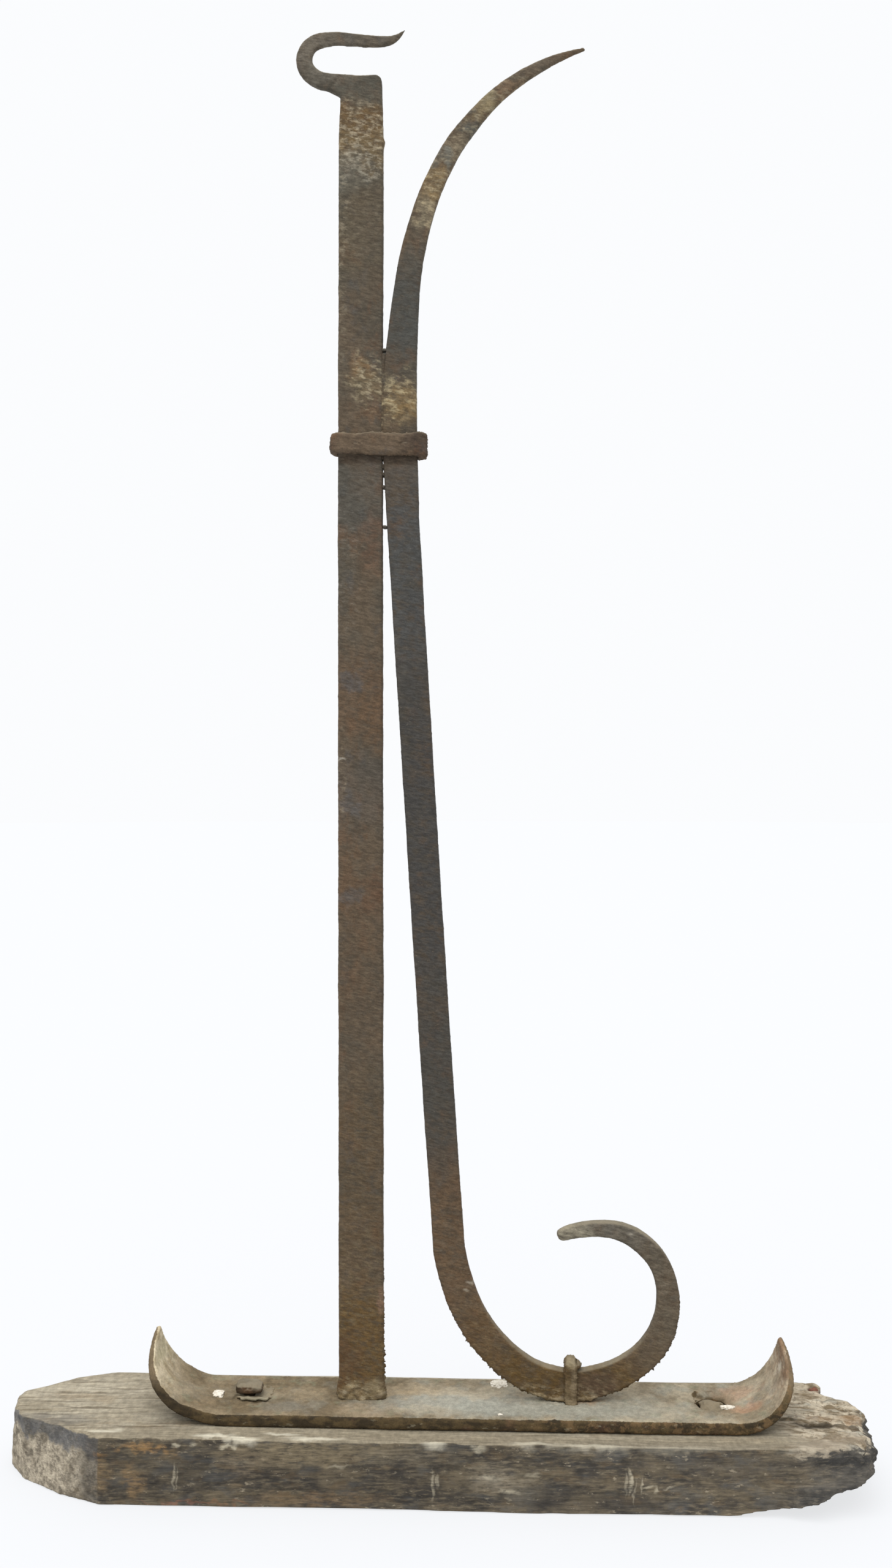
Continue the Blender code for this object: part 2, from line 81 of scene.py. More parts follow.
class Paint:
    """A node material under construction. Its methods return output sockets."""

    def __init__(self, name):
        self.material = bpy.data.materials.new(name)
        self.material.use_nodes = True
        self.tree = self.material.node_tree
        self.tree.nodes.clear()
        self.place = self.add("ShaderNodeTexCoord").outputs["Object"]
        normal = self.add("ShaderNodeSeparateXYZ")
        geometry = self.add("ShaderNodeNewGeometry")
        self.put(normal.inputs[0], geometry.outputs["Normal"])
        self.normal = normal.outputs
        self.bend = geometry.outputs["Pointiness"]
        where = self.add("ShaderNodeSeparateXYZ")
        self.put(where.inputs[0], self.place)
        self.where = where.outputs
        waver = self.add("ShaderNodeTexNoise")
        waver.inputs["Scale"].default_value = WAVER_SCALE
        waver.inputs["Detail"].default_value = 4
        self.put(waver.inputs["Vector"], self.place)
        self.waver = self.vector("SUBTRACT", waver.outputs["Color"], (0.5, 0.5, 0.5))

    def add(self, kind, **settings):
        """A new node with its settings."""
        node = self.tree.nodes.new(kind)
        for key, value in settings.items():
            setattr(node, key, value)
        return node

    def put(self, socket, value):
        """Link an output to a socket, or set the socket's own value."""
        if isinstance(value, bpy.types.NodeSocket):
            self.tree.links.new(value, socket)
        elif isinstance(value, tuple) and len(value) == 3 and socket.type == "RGBA":
            socket.default_value = (*value, 1)
        else:
            socket.default_value = value

    def math(self, operation, *values):
        """A Math node."""
        node = self.add("ShaderNodeMath", operation=operation)
        for socket, value in zip(node.inputs, values):
            self.put(socket, value)
        return node.outputs[0]

    def vector(self, operation, *values):
        """A Vector Math node."""
        node = self.add("ShaderNodeVectorMath", operation=operation)
        for socket, value in zip(node.inputs, values):
            self.put(socket, value)
        return node.outputs["Value"] if operation == "LENGTH" else node.outputs[0]

    def spread(self, value, low, high, to_low=0.0, to_high=1.0):
        """A smooth step from one level of a value to another."""
        node = self.add("ShaderNodeMapRange", interpolation_type="SMOOTHSTEP")
        for socket, given in zip(node.inputs, (value, low, high, to_low, to_high)):
            self.put(socket, given)
        return node.outputs[0]

    def noise(self, scales, detail=6.0, roughness=0.55, twist=0.0, seed=0.0, lean=None):
        """Noise with its own scale, in features per metre, along each axis of a leaning frame."""
        place = self.place
        if lean:
            turned = self.add("ShaderNodeVectorRotate", rotation_type="EULER_XYZ")
            self.put(turned.inputs["Vector"], self.place)
            self.put(turned.inputs["Rotation"], lean)
            place = turned.outputs[0]
        node = self.add("ShaderNodeMapping")
        self.put(node.inputs["Vector"], place)
        self.put(node.inputs["Location"], (seed, 2.3 * seed, 3.7 * seed))
        self.put(node.inputs["Scale"], scales if isinstance(scales, tuple) else (scales,) * 3)
        grains = self.add("ShaderNodeTexNoise")
        self.put(grains.inputs["Vector"], node.outputs[0])
        settings = ("Scale", 1.0), ("Detail", detail), ("Roughness", roughness), ("Distortion", twist)
        for name, value in settings:
            self.put(grains.inputs[name], value)
        return grains.outputs["Fac"]

    def mix(self, share, first, second, mode="MIX"):
        """Mix two colours."""
        node = self.add("ShaderNodeMix", data_type="RGBA", blend_type=mode)
        self.put(node.inputs[0], share)
        self.put(node.inputs[6], first)
        self.put(node.inputs[7], second)
        return node.outputs[2]

    def blot(self, centre, radii, ragged, soft):
        """A mask for a ragged blot round a point."""
        wander = self.vector("MULTIPLY", self.waver, (ragged * 4,) * 3)
        away = self.vector("SUBTRACT", self.vector("ADD", self.place, wander), centre)
        apart = self.vector("LENGTH", self.vector("DIVIDE", away, radii))
        return self.spread(apart, 1 + soft, 1 - soft)

    def times(self, *values):
        """The product of values."""
        return functools.reduce(functools.partial(self.math, "MULTIPLY"), values)

    def plus(self, *values):
        """The sum of values."""
        return functools.reduce(functools.partial(self.math, "ADD"), values)

    def between(self, value, low, high, first, second):
        """One colour where a value is below a band, another where it is above it."""
        return self.mix(self.spread(value, low, high), first, second)

    def veil(self, colour, value, low, high, strength, tint):
        """A colour veiled by a tint where a value is past a band."""
        return self.mix(self.times(self.spread(value, low, high), strength), colour, tint)

    def daub(self, colour, face, rows, soft, ragged=0.0, tint=None, through=()):
        """A colour with blots on one of the object's faces, seen through masks.

        The face is its axis, its place along it and how deep the blots go. A row is a blot's middle
        and radii in the face, its strength and, where these differ from row to row, its tint and
        how ragged it is. Lengths in a row, and ragged, are in millimetres, and tints in thousandths.
        """
        axis, place, depth = face
        for u, v, reach_u, reach_v, strength, *own in rows:
            own_tint, own_ragged = (*own, *(tint, ragged)[len(own):])
            u, v, reach_u, reach_v, wide = (each / 1000 for each in (u, v, reach_u, reach_v, own_ragged))
            middle = (u, v, place) if axis == "Z" else (u, place, v)
            radii = (reach_u, reach_v, depth) if axis == "Z" else (reach_u, depth, reach_v)
            share = self.times(self.blot(middle, radii, wide, soft), strength, *through)
            colour = self.mix(share, colour, tuple(level / 1000 for level in own_tint))
        return colour

    def finish(self, colour, roughness, relief, depth, metallic=0.0):
        """Close the material with its shader and its fine relief."""
        shader = self.add("ShaderNodeBsdfPrincipled")
        bump = self.add("ShaderNodeBump")
        self.put(bump.inputs["Height"], relief)
        bump.inputs["Strength"].default_value = 1.0
        bump.inputs["Distance"].default_value = depth
        self.put(shader.inputs["Base Color"], colour)
        self.put(shader.inputs["Roughness"], roughness)
        self.put(shader.inputs["Metallic"], metallic)
        shader.inputs["Specular IOR Level"].default_value = DULL_GLOSS
        self.put(shader.inputs["Normal"], bump.outputs[0])
        output = self.add("ShaderNodeOutputMaterial")
        self.put(output.inputs["Surface"], shader.outputs[0])
        return self.material


STREAK_LEAN = (0, math.radians(-12), 0)
FLECK_LEAN = (0, math.radians(-9), 0)
GRAIN_LEAN = (0, 0, math.radians(-2))
SIDE_LEAN = (0, math.radians(3), 0)
SPLINTER_LEAN = (0, 0, math.radians(16))
WAVER_SCALE = 120
DULL_GLOSS = 0.12
DUST = (0.25, 0.215, 0.15)
LIME = (0.76, 0.71, 0.62)
RED_RUST = (0.135, 0.072, 0.038)
BLUE_SCALE = (0.066, 0.07, 0.072)


def shaded(paint, colour, *shades):
    """A colour multiplied by grey shades."""
    for shade in shades:
        colour = paint.mix(1.0, colour, paint.vector("MULTIPLY", (1, 1, 1), shade), mode="MULTIPLY")
    return colour


def iron_paint(name, seed, tones, dust=0.0, stains_and_painted_light=(), flecks=(), rust=0.45, bare=0.35, arris=0.25):
    """Old rust: drifts between two tones, red rust, blue scale, fine streaks and grit, dust, and stains,
    among them painted shadows and highlights.

    Stains, with painted shadows and highlights among them, and groups of flecks come as pairs of a face and
    its rows, as Paint.daub takes them.
    """
    paint = Paint(name)
    drift = paint.noise((34, 34, 24), roughness=0.6, seed=seed)
    colour = paint.between(drift, 0.38, 0.62, tones[0], tones[1])
    patches = paint.noise((70, 70, 48), roughness=0.65, seed=seed + 5)
    colour = paint.veil(colour, patches, 0.52, 0.68, rust, RED_RUST)
    cool = paint.noise((95, 95, 70), roughness=0.62, seed=seed + 9)
    colour = paint.veil(colour, cool, 0.54, 0.7, bare, BLUE_SCALE)
    mottled = paint.noise((190, 190, 330), detail=5, roughness=0.62, seed=seed + 13, lean=STREAK_LEAN)
    patchy = paint.spread(mottled, 0.3, 0.6, 0.35, 1.0)
    for face, rows in stains_and_painted_light:
        colour = paint.daub(colour, face, rows, 0.45, through=(patchy,))
    if flecks:
        strokes = paint.noise((210, 210, 440), roughness=0.66, seed=seed + 17, lean=FLECK_LEAN)
        strokes = paint.spread(strokes, 0.46, 0.67)
    for face, rows in flecks:
        colour = paint.daub(colour, face, rows, 0.5, through=(strokes,))
    streaks = paint.noise((260, 260, 1000), detail=5, roughness=0.66, seed=seed + 2, lean=STREAK_LEAN)
    grit = paint.noise(1300, detail=4, roughness=0.7, seed=seed + 4)
    colour = shaded(
        paint, colour,
        paint.spread(streaks, 0.3, 0.72, 0.74, 1.3),
        paint.spread(mottled, 0.3, 0.7, 0.87, 1.13),
        paint.spread(grit, 0.25, 0.75, 0.84, 1.16),
    )
    specks = paint.noise((420, 420, 760), detail=3, roughness=0.5, seed=seed + 21, lean=STREAK_LEAN)
    colour = paint.veil(colour, specks, 0.68, 0.76, 0.3, (0.22, 0.19, 0.145))
    worn = paint.times(paint.spread(paint.bend, 0.515, 0.6), paint.spread(patches, 0.4, 0.6), arris)
    colour = paint.mix(worn, colour, (0.17, 0.135, 0.092))
    if dust:
        settled = paint.spread(paint.normal["Z"], 0.25, 0.9)
        share = paint.times(settled, paint.spread(patches, 0.25, 0.6, 0.45, 1.0), dust)
        colour = paint.mix(share, colour, DUST)
    relief = paint.plus(paint.times(streaks, 0.35), paint.times(grit, 0.5), paint.times(mottled, 0.35))
    return paint.finish(colour, paint.spread(mottled, 0.3, 0.7, 0.68, 0.9), relief, 0.00035, 0.08)

# On top of the plate, as rows for Paint.daub: patches of dust and rust.
PLATE_PATCHES = (
    (14, -10, 46, 12, 0.65, (292, 292, 248)), (60, -17, 50, 9, 0.6, (285, 284, 236)),
    (105, -13, 35, 12, 0.5, (270, 264, 215)), (-82, -17, 16, 8, 0.45, (190, 178, 145)),
    (-36, -19, 20, 7, 0.4, (285, 220, 145)), (-18, 4, 20, 7, 0.65, (330, 260, 165)),
    (-5, -18, 14, 6, 0.55, (340, 290, 205)), (18, 3, 24, 6, 0.6, (350, 300, 215)),
    (88, -3, 10, 4, 0.55, (340, 230, 140)), (178, -12, 10, 6, 0.55, (330, 185, 110)),
    (176, 8, 12, 7, 0.5, (300, 180, 115)),
)

# On its curled ends: scale and rust.
CURL_MARKS = (
    (193.5, 70, 4, 6.5, 0.85, (460, 420, 340)), (180, 56, 5, 5, 0.5, (360, 190, 120)),
    (203.5, 66, 3.6, 8, 0.8, (130, 78, 48)), (206, 53, 4, 7, 0.8, (125, 74, 46)),
    (190, 62, 5, 5, 0.55, (190, 120, 78)), (201, 60, 2, 6, 0.55, (400, 360, 280)),
    (-148, 68, 4, 8, 0.7, (400, 370, 270)), (-156, 72, 4, 5, 0.6, (300, 270, 160)),
)

# On its top: painted shade in the gaps round the nails and under the washer's lip.
PLATE_GAP_SHADE = (
    (154, 8.5, 2, 2.2, 0.8), (160, 6.6, 4.2, 2, 0.9), (165.5, 3, 2.8, 3.6, 0.9), (168.4, -2.5, 1.4, 3, 0.7),
    (153.2, -2, 1.3, 4, 0.8), (155, -8.5, 1.3, 3, 0.7), (-107.5, -8, 2.2, 1.4, 0.9),
    (-100, -12.2, 2.8, 1.2, 0.9), (-115, -6, 1, 4, 0.7),
)


def plate_paint():
    """The plate: dust and dried rust in khaki, grey and tan above, and dark rust on its edge."""
    paint = Paint("plate_look")
    x, z = paint.where["X"], paint.where["Z"]
    broad = paint.noise(45, roughness=0.62, seed=31)
    left = paint.between(broad, 0.38, 0.62, (0.12, 0.09, 0.052), (0.205, 0.16, 0.1))
    right = paint.between(broad, 0.38, 0.62, (0.182, 0.148, 0.098), (0.298, 0.256, 0.182))
    above = paint.between(x, -0.07, 0.06, left, right)
    cool = paint.noise(80, seed=35)
    cool = paint.times(paint.spread(cool, 0.5, 0.66), paint.spread(x, -0.09, 0.0, 0.15, 0.42))
    above = paint.mix(cool, above, (0.205, 0.21, 0.178))
    tan = paint.noise(95, seed=37)
    above = paint.veil(above, tan, 0.55, 0.68, 0.4, (0.25, 0.185, 0.11))
    green = paint.noise(110, detail=5, seed=39)
    above = paint.veil(above, green, 0.55, 0.68, 0.4, (0.18, 0.185, 0.12))
    above = paint.daub(above, ("Z", PLATE_TOP_Z, 0.02), PLATE_PATCHES, 0.6, 6)
    curled = paint.spread(z, PLATE_TOP_Z + 0.002, PLATE_TOP_Z + 0.026)
    pale = paint.noise(85, detail=5, seed=43)
    olive = paint.between(pale, 0.36, 0.62, (0.36, 0.29, 0.175), (0.64, 0.55, 0.39))
    ruddy = paint.between(pale, 0.4, 0.62, (0.2, 0.122, 0.07), (0.42, 0.352, 0.25))
    ruddy = paint.veil(ruddy, green, 0.46, 0.58, 0.65, (0.15, 0.1, 0.06))
    above = paint.mix(paint.times(curled, 0.9), above, paint.between(x, -0.02, 0.02, olive, ruddy))
    above = paint.daub(above, ("Y", IRON_Y, 0.03), CURL_MARKS, 0.5, 3)
    hollow = ((161, -1.5, 11.5, 12, 0.6, (135, 100, 58)),)
    above = paint.daub(above, ("Z", PLATE_TOP_Z, 0.01), hollow, 0.5, 3.5)
    # Painted shade in the gaps round the nails.
    above = paint.daub(above, ("Z", PLATE_TOP_Z, 0.006), PLATE_GAP_SHADE, 0.6, 1.4, (60, 43, 22))

    rim = paint.noise(210, roughness=0.7, seed=49)
    low = paint.noise((95, 95, 240), roughness=0.62, seed=47)
    edge = paint.between(low, 0.42, 0.6, (0.038, 0.028, 0.016), (0.08, 0.056, 0.027))
    redder = paint.noise(55, detail=5, seed=48)
    edge = paint.veil(edge, redder, 0.55, 0.68, 0.4, (0.1, 0.052, 0.034))
    chips = paint.noise((160, 160, 420), detail=5, roughness=0.6, seed=50)
    chips = paint.times(paint.spread(chips, 0.6, 0.68), paint.spread(x, -0.08, 0.1, 0.35, 0.8))
    edge = paint.mix(chips, edge, (0.2, 0.175, 0.118))
    lower = paint.times(paint.spread(x, -0.128, -0.14), paint.spread(z, 0.064, 0.057))
    edge = paint.mix(paint.times(lower, 0.6), edge, (0.026, 0.019, 0.011))
    upper = paint.spread(z, 0.056, 0.066)
    edge = paint.mix(paint.times(upper, 0.65), edge, (0.18, 0.135, 0.082))
    warmer = paint.times(paint.spread(x, 0.03, 0.09), paint.spread(rim, 0.46, 0.58), 0.6)
    edge = paint.mix(warmer, edge, (0.16, 0.1, 0.048))
    inward = paint.times(paint.normal["X"], paint.math("DIVIDE", x, -0.15))
    backward = paint.times(paint.normal["Y"], 0.9)
    facing = paint.plus(paint.normal["Z"], inward, -0.1, backward, paint.spread(rim, 0.3, 0.7, -0.22, 0.22))
    colour = paint.between(facing, 0.0, 0.3, edge, above)
    mottle = paint.noise(330, detail=5, roughness=0.65, seed=51)
    grit = paint.noise(1300, detail=4, roughness=0.7, seed=53)
    shades = paint.spread(mottle, 0.3, 0.7, 0.82, 1.18), paint.spread(grit, 0.25, 0.75, 0.84, 1.16)
    colour = shaded(paint, colour, *shades)
    relief = paint.plus(paint.times(mottle, 0.5), paint.times(grit, 0.45))
    return paint.finish(colour, paint.spread(mottle, 0.3, 0.7, 0.74, 0.92), relief, 0.0004)

# On the block's front: rusty, pale and dark stains.
SIDE_TINTS = (
    (-185, 29, 6, 3, 0.65, (270, 150, 60)), (-158, 32.5, 14, 2, 0.7, (290, 170, 70)),
    (-164, 13, 5, 9, 0.6, (210, 135, 65)), (-182, 17, 5, 9, 0.55, (180, 120, 60)),
    (-140, 2, 16, 1.2, 0.45, (200, 85, 55)), (-112, 2.2, 14, 1.2, 0.45, (200, 100, 52)),
    (-60, 5.5, 34, 3.5, 0.5, (150, 95, 50)), (-72, 31.5, 46, 6, 0.75, (185, 148, 93)),
    (-104, 25, 12, 8, 0.55, (150, 118, 80)), (-10, 30, 30, 4, 0.55, (140, 118, 85)),
    (34, 19, 12, 8, 0.6, (230, 195, 140)), (52, 14, 10, 8, 0.5, (200, 172, 125)),
    (62, 9, 16, 7, 0.55, (34, 32, 30)), (104, 6, 20, 6, 0.6, (32, 30, 28)),
    (-135, 20, 10, 8, 0.4, (40, 38, 34)), (160, 29, 40, 5, 0.45, (46, 44, 42)),
    (188, 1.5, 20, 1, 0.3, (170, 105, 80)),
)

# On its front: scuffs.
SIDE_SCUFFS = (
    (-141.5, 17.5, 0.7, 6, 0.5), (-139.5, 16.5, 0.6, 4, 0.4), (1.7, 15, 0.8, 7, 0.5), (4, 17, 0.7, 3, 0.45),
    (107.5, 18, 0.6, 5, 0.35), (109.6, 19.5, 0.9, 5, 0.7), (112, 13, 0.5, 6, 0.3),
    (116, 17.5, 0.6, 3.6, 0.45), (119.5, 16.5, 2.6, 0.8, 0.5), (123.5, 14.5, 0.8, 2.2, 0.5),
    (131, 15, 2.6, 0.8, 0.4), (26.4, 34.5, 4, 1.3, 0.7), (-140.2, 34.3, 2, 0.9, 0.9),
    (-130.3, 35.1, 1.8, 0.9, 0.7), (-113.1, 34.5, 3, 1.2, 0.9), (-108.5, 33.5, 1.6, 1.2, 0.8),
    (33.9, 19.1, 6, 1.4, 0.6), (43.5, 11.8, 4.5, 1.4, 0.6), (56, 21.5, 5, 1.2, 0.5), (-50, 24, 5, 0.8, 0.5),
)

# On its top: bleached splinters along the front edge.
TOP_STREAKS = (
    (-183, -35, 9, 1.3, 0.9), (-176, -33.5, 4, 1.8, 0.6), (-120, -39, 10, 1.6, 0.95),
    (-104, -41.2, 9, 1.4, 0.95), (-82, -36, 9, 1.4, 0.95), (-64, -39.8, 14, 1.6, 0.85),
    (2, -41.5, 6, 1.2, 0.8), (58, -40, 12, 1.6, 0.55), (90, -41.2, 18, 1.4, 0.55),
    (135, -41.5, 20, 1.4, 0.25), (211.8, -42, 6, 3, 0.6), (206, -39.5, 5, 2, 0.45),
)

# On its rotten end: rust and dirt, and painted shade in its cracks and hollows.
ROTTEN_STAINS_AND_CRACK_SHADE = (
    (240.5, -4, 7, 5, 0.45, (250, 150, 75)), (220, -3.5, 10, 3, 0.4, (260, 180, 110)),
    (214, -37, 16, 7, 0.75, (255, 215, 160)), (232, -28, 12, 6, 0.6, (240, 195, 140)),
    (224.5, 30, 3, 3, 0.6, (200, 75, 50)), (216.5, -13, 12, 4.6, 0.95, (40, 31, 20)),
    (238, -14, 9, 2, 0.8, (70, 52, 32)), (242, 8, 9, 1.8, 0.75, (85, 64, 40)),
    (201, -6, 8, 1.2, 0.8, (60, 48, 30)), (230, -9, 12, 1.4, 0.8, (70, 50, 28)),
    (236, 1, 10, 1.2, 0.8, (80, 62, 36)),
)


def timber_paint():
    """The block: grey weathered grain above, dark stained sides, crumbling cut ends, and streaks."""
    paint = Paint("timber_look")
    x, y, z = paint.where["X"], paint.where["Y"], paint.where["Z"]
    front, top = BLOCK_LOW.y, BLOCK_HIGH.z
    grain = paint.noise((26, 330, 330), roughness=0.62, twist=0.2, seed=3, lean=GRAIN_LEAN)
    fibre = paint.noise((90, 1100, 1100), detail=4, roughness=0.62, seed=6)
    lines = paint.noise((16, 520, 520), detail=3, roughness=0.5, twist=0.3, seed=7, lean=GRAIN_LEAN)
    broad = paint.noise((16, 45, 45), roughness=0.6, seed=9)
    above = paint.between(broad, 0.38, 0.62, (0.256, 0.222, 0.16), (0.332, 0.294, 0.221))
    above = paint.veil(above, grain, 0.48, 0.36, 0.36, (0.165, 0.134, 0.087))
    above = paint.veil(above, grain, 0.54, 0.66, 0.26, (0.4, 0.36, 0.28))
    above = paint.veil(above, lines, 0.4, 0.35, 0.6, (0.11, 0.086, 0.055))
    damp = paint.noise((28, 60, 60), detail=5, seed=10)
    above = paint.veil(above, damp, 0.54, 0.66, 0.4, (0.215, 0.16, 0.096))
    ledge = paint.times(paint.spread(y, -0.026, -0.037), paint.spread(x, -0.215, -0.185), 0.9)
    above = paint.mix(ledge, above, (0.224, 0.19, 0.132))
    rim = paint.times(paint.spread(y, -0.033, -0.04), paint.spread(x, 0.0, 0.14, 0.35, 1.0), 0.75)
    above = paint.mix(rim, above, (0.165, 0.142, 0.104))
    dapple = paint.noise((300, 170, 300), roughness=0.7, seed=11)
    above = shaded(paint, above, paint.spread(dapple, 0.3, 0.7, 0.82, 1.18))
    # Painted shade along the drying cracks on top.
    crack_shade = []
    for start, end, at_y, wide, _ in CRACKS:
        crack_shade.append((500 * (start + end), 1000 * at_y, 500 * (end - start), 1000 * wide, 0.6))
    above = paint.daub(above, ("Z", top, 0.01), crack_shade, 0.7, 0.6, (85, 64, 40))

    blotch = paint.noise((55, 100, 105), roughness=0.62, seed=12)
    streak = paint.noise((150, 400, 620), detail=5, roughness=0.62, seed=13, lean=SIDE_LEAN)
    side = paint.between(blotch, 0.36, 0.64, (0.042, 0.037, 0.031), (0.098, 0.079, 0.053))
    side = paint.veil(side, streak, 0.48, 0.66, 0.6, (0.145, 0.118, 0.078))
    side = paint.veil(side, streak, 0.46, 0.34, 0.5, (0.03, 0.027, 0.023))
    side = paint.veil(side, lines, 0.42, 0.33, 0.35, (0.024, 0.022, 0.019))
    cool = paint.noise((60, 120, 120), seed=15)
    side = paint.veil(side, cool, 0.5, 0.66, 0.5, (0.064, 0.064, 0.061))
    warm = paint.noise((70, 120, 190), seed=16)
    side = paint.veil(side, warm, 0.56, 0.68, 0.35, (0.12, 0.082, 0.044))
    flecks = paint.noise((170, 400, 420), detail=5, roughness=0.7, seed=18)
    side = paint.veil(side, flecks, 0.6, 0.68, 0.8, (0.225, 0.19, 0.135))
    streaky = paint.spread(streak, 0.34, 0.6, 0.15, 1.0)
    side = paint.daub(side, ("Y", front, 0.03), SIDE_TINTS, 0.6, 4, through=(streaky,))
    broken = paint.spread(streak, 0.36, 0.5, 0.3, 1.0)
    side = paint.daub(side, ("Y", front, 0.01), SIDE_SCUFFS, 0.7, 2.2, (360, 320, 235), (broken,))
    side = shaded(paint, side, paint.spread(x, 0.03, 0.13, 1.04, 1.28), paint.spread(z, 0.007, 0.0, 1.0, 1.3))

    knots = paint.noise((200, 200, 190), detail=8, roughness=0.74, seed=21)
    lumps = paint.noise((70, 70, 60), detail=4, seed=22)
    cut = paint.between(knots, 0.38, 0.6, (0.165, 0.14, 0.104), (0.385, 0.334, 0.252))
    cut = paint.veil(cut, lumps, 0.52, 0.64, 0.4, (0.175, 0.146, 0.105))
    pores = paint.noise(420, detail=5, roughness=0.65, seed=23)
    cut = paint.veil(cut, pores, 0.42, 0.34, 0.6, (0.08, 0.068, 0.053))
    rising = paint.times(paint.plus(x, 0.235), 0.1)
    lumpy = paint.spread(lumps, 0.3, 0.7, -0.004, 0.004)
    tarred = paint.plus(z, lumpy, paint.spread(knots, 0.3, 0.7, -0.0025, 0.0025), rising)
    tar = paint.between(knots, 0.35, 0.65, (0.085, 0.083, 0.081), (0.15, 0.142, 0.13))
    cut = paint.between(tarred, 0.027, 0.031, cut, tar)
    corner = paint.plus(x, paint.spread(knots, 0.3, 0.7, -0.005, 0.005))
    cut = paint.mix(paint.times(paint.spread(corner, -0.199, -0.19), 0.6), cut, (0.062, 0.056, 0.05))
    chamfer = paint.times(paint.spread(paint.normal["X"], -0.22, -0.5), paint.spread(x, -0.176, -0.184))

    wander = paint.noise((60, 200, 200), detail=4, seed=24)
    up = paint.plus(paint.normal["Z"], paint.spread(wander, 0.3, 0.7, -0.3, 0.3))
    colour = paint.mix(chamfer, side, cut)
    colour = paint.between(up, 0.4, 0.7, colour, above)
    sooty = ((-222, -22, 28, 8, 0.55),)
    colour = paint.daub(colour, ("Z", top, 0.004), sooty, 0.5, 4, (105, 98, 88))
    colour = paint.daub(colour, ("Z", top, 0.004), TOP_STREAKS, 0.6, 1.6, (470, 430, 335))

    rotten = paint.spread(paint.plus(x, paint.spread(broad, 0.3, 0.7, -0.014, 0.014)), 0.185, 0.216)
    layers = paint.noise((60, 170, 210), roughness=0.66, twist=0.3, seed=27, lean=SPLINTER_LEAN)
    splintered = paint.between(layers, 0.38, 0.6, (0.16, 0.122, 0.075), (0.43, 0.372, 0.28))
    grey = paint.noise((60, 150, 150), detail=5, seed=28)
    splintered = paint.veil(splintered, grey, 0.5, 0.64, 0.55, (0.25, 0.248, 0.212))
    splintered = paint.veil(splintered, pores, 0.46, 0.36, 0.65, (0.095, 0.074, 0.048))
    # Stains on the rotten end, with painted shade in its cracks and hollows.
    splintered = paint.daub(splintered, ("Z", top, 0.012), ROTTEN_STAINS_AND_CRACK_SHADE, 0.5, 3)
    soot = paint.between(blotch, 0.4, 0.6, (0.045, 0.043, 0.04), (0.088, 0.08, 0.068))
    soot = paint.veil(soot, streak, 0.52, 0.64, 0.6, (0.14, 0.12, 0.092))
    high = paint.plus(z, paint.spread(layers, 0.3, 0.7, -0.002, 0.002))
    low = paint.spread(high, 0.0345, 0.0325)
    bank = paint.times(paint.plus(x, -0.207), 0.18)
    near = paint.plus(paint.math("SUBTRACT", y, bank), paint.spread(layers, 0.3, 0.7, -0.003, 0.003))
    soiled = paint.times(paint.spread(near, -0.041, -0.0435), paint.spread(x, 0.203, 0.21))
    splintered = paint.mix(paint.math("MAXIMUM", low, soiled), splintered, soot)
    colour = paint.mix(rotten, colour, splintered)

    shades = paint.spread(fibre, 0.25, 0.75, 0.78, 1.22), paint.spread(knots, 0.3, 0.7, 0.88, 1.12)
    colour = shaded(paint, colour, *shades)
    relief = paint.plus(paint.times(streak, 0.6), paint.times(fibre, 0.4), paint.times(lines, 0.6))
    return paint.finish(colour, paint.spread(grain, 0.3, 0.7, 0.82, 0.95), relief, 0.0007)


def lime_paint():
    """Crumbs of old limewash."""
    paint = Paint("lime_look")
    crumb = paint.noise(700, detail=4, roughness=0.65, seed=61)
    colour = paint.between(crumb, 0.35, 0.65, (0.52, 0.47, 0.38), LIME)
    return paint.finish(colour, paint.spread(crumb, 0.3, 0.7, 0.85, 0.96), crumb, 0.0003)


def floor_paint():
    """The pale studio floor, lit from below so that shadows on it stay faint."""
    paint = Paint("floor_look")
    shader = paint.add("ShaderNodeBsdfPrincipled")
    paint.put(shader.inputs["Base Color"], tuple(FLOOR_SHARE * level for level in FLOOR_COLOUR))
    shader.inputs["Roughness"].default_value = 1.0
    shader.inputs["Specular IOR Level"].default_value = 0.0
    paint.put(shader.inputs["Emission Color"], WORLD_COLOUR)
    shader.inputs["Emission Strength"].default_value = FLOOR_GLOW
    output = paint.add("ShaderNodeOutputMaterial")
    paint.put(output.inputs["Surface"], shader.outputs[0])
    return paint.material


# Shapes ---------------------------------------------------------------------------------

def link(name, mesh, surface):
    """A new object for a mesh, with its material."""
    mesh.materials.clear()
    mesh.materials.append(surface)
    made = bpy.data.objects.new(name, mesh)
    bpy.context.scene.collection.objects.link(made)
    return made


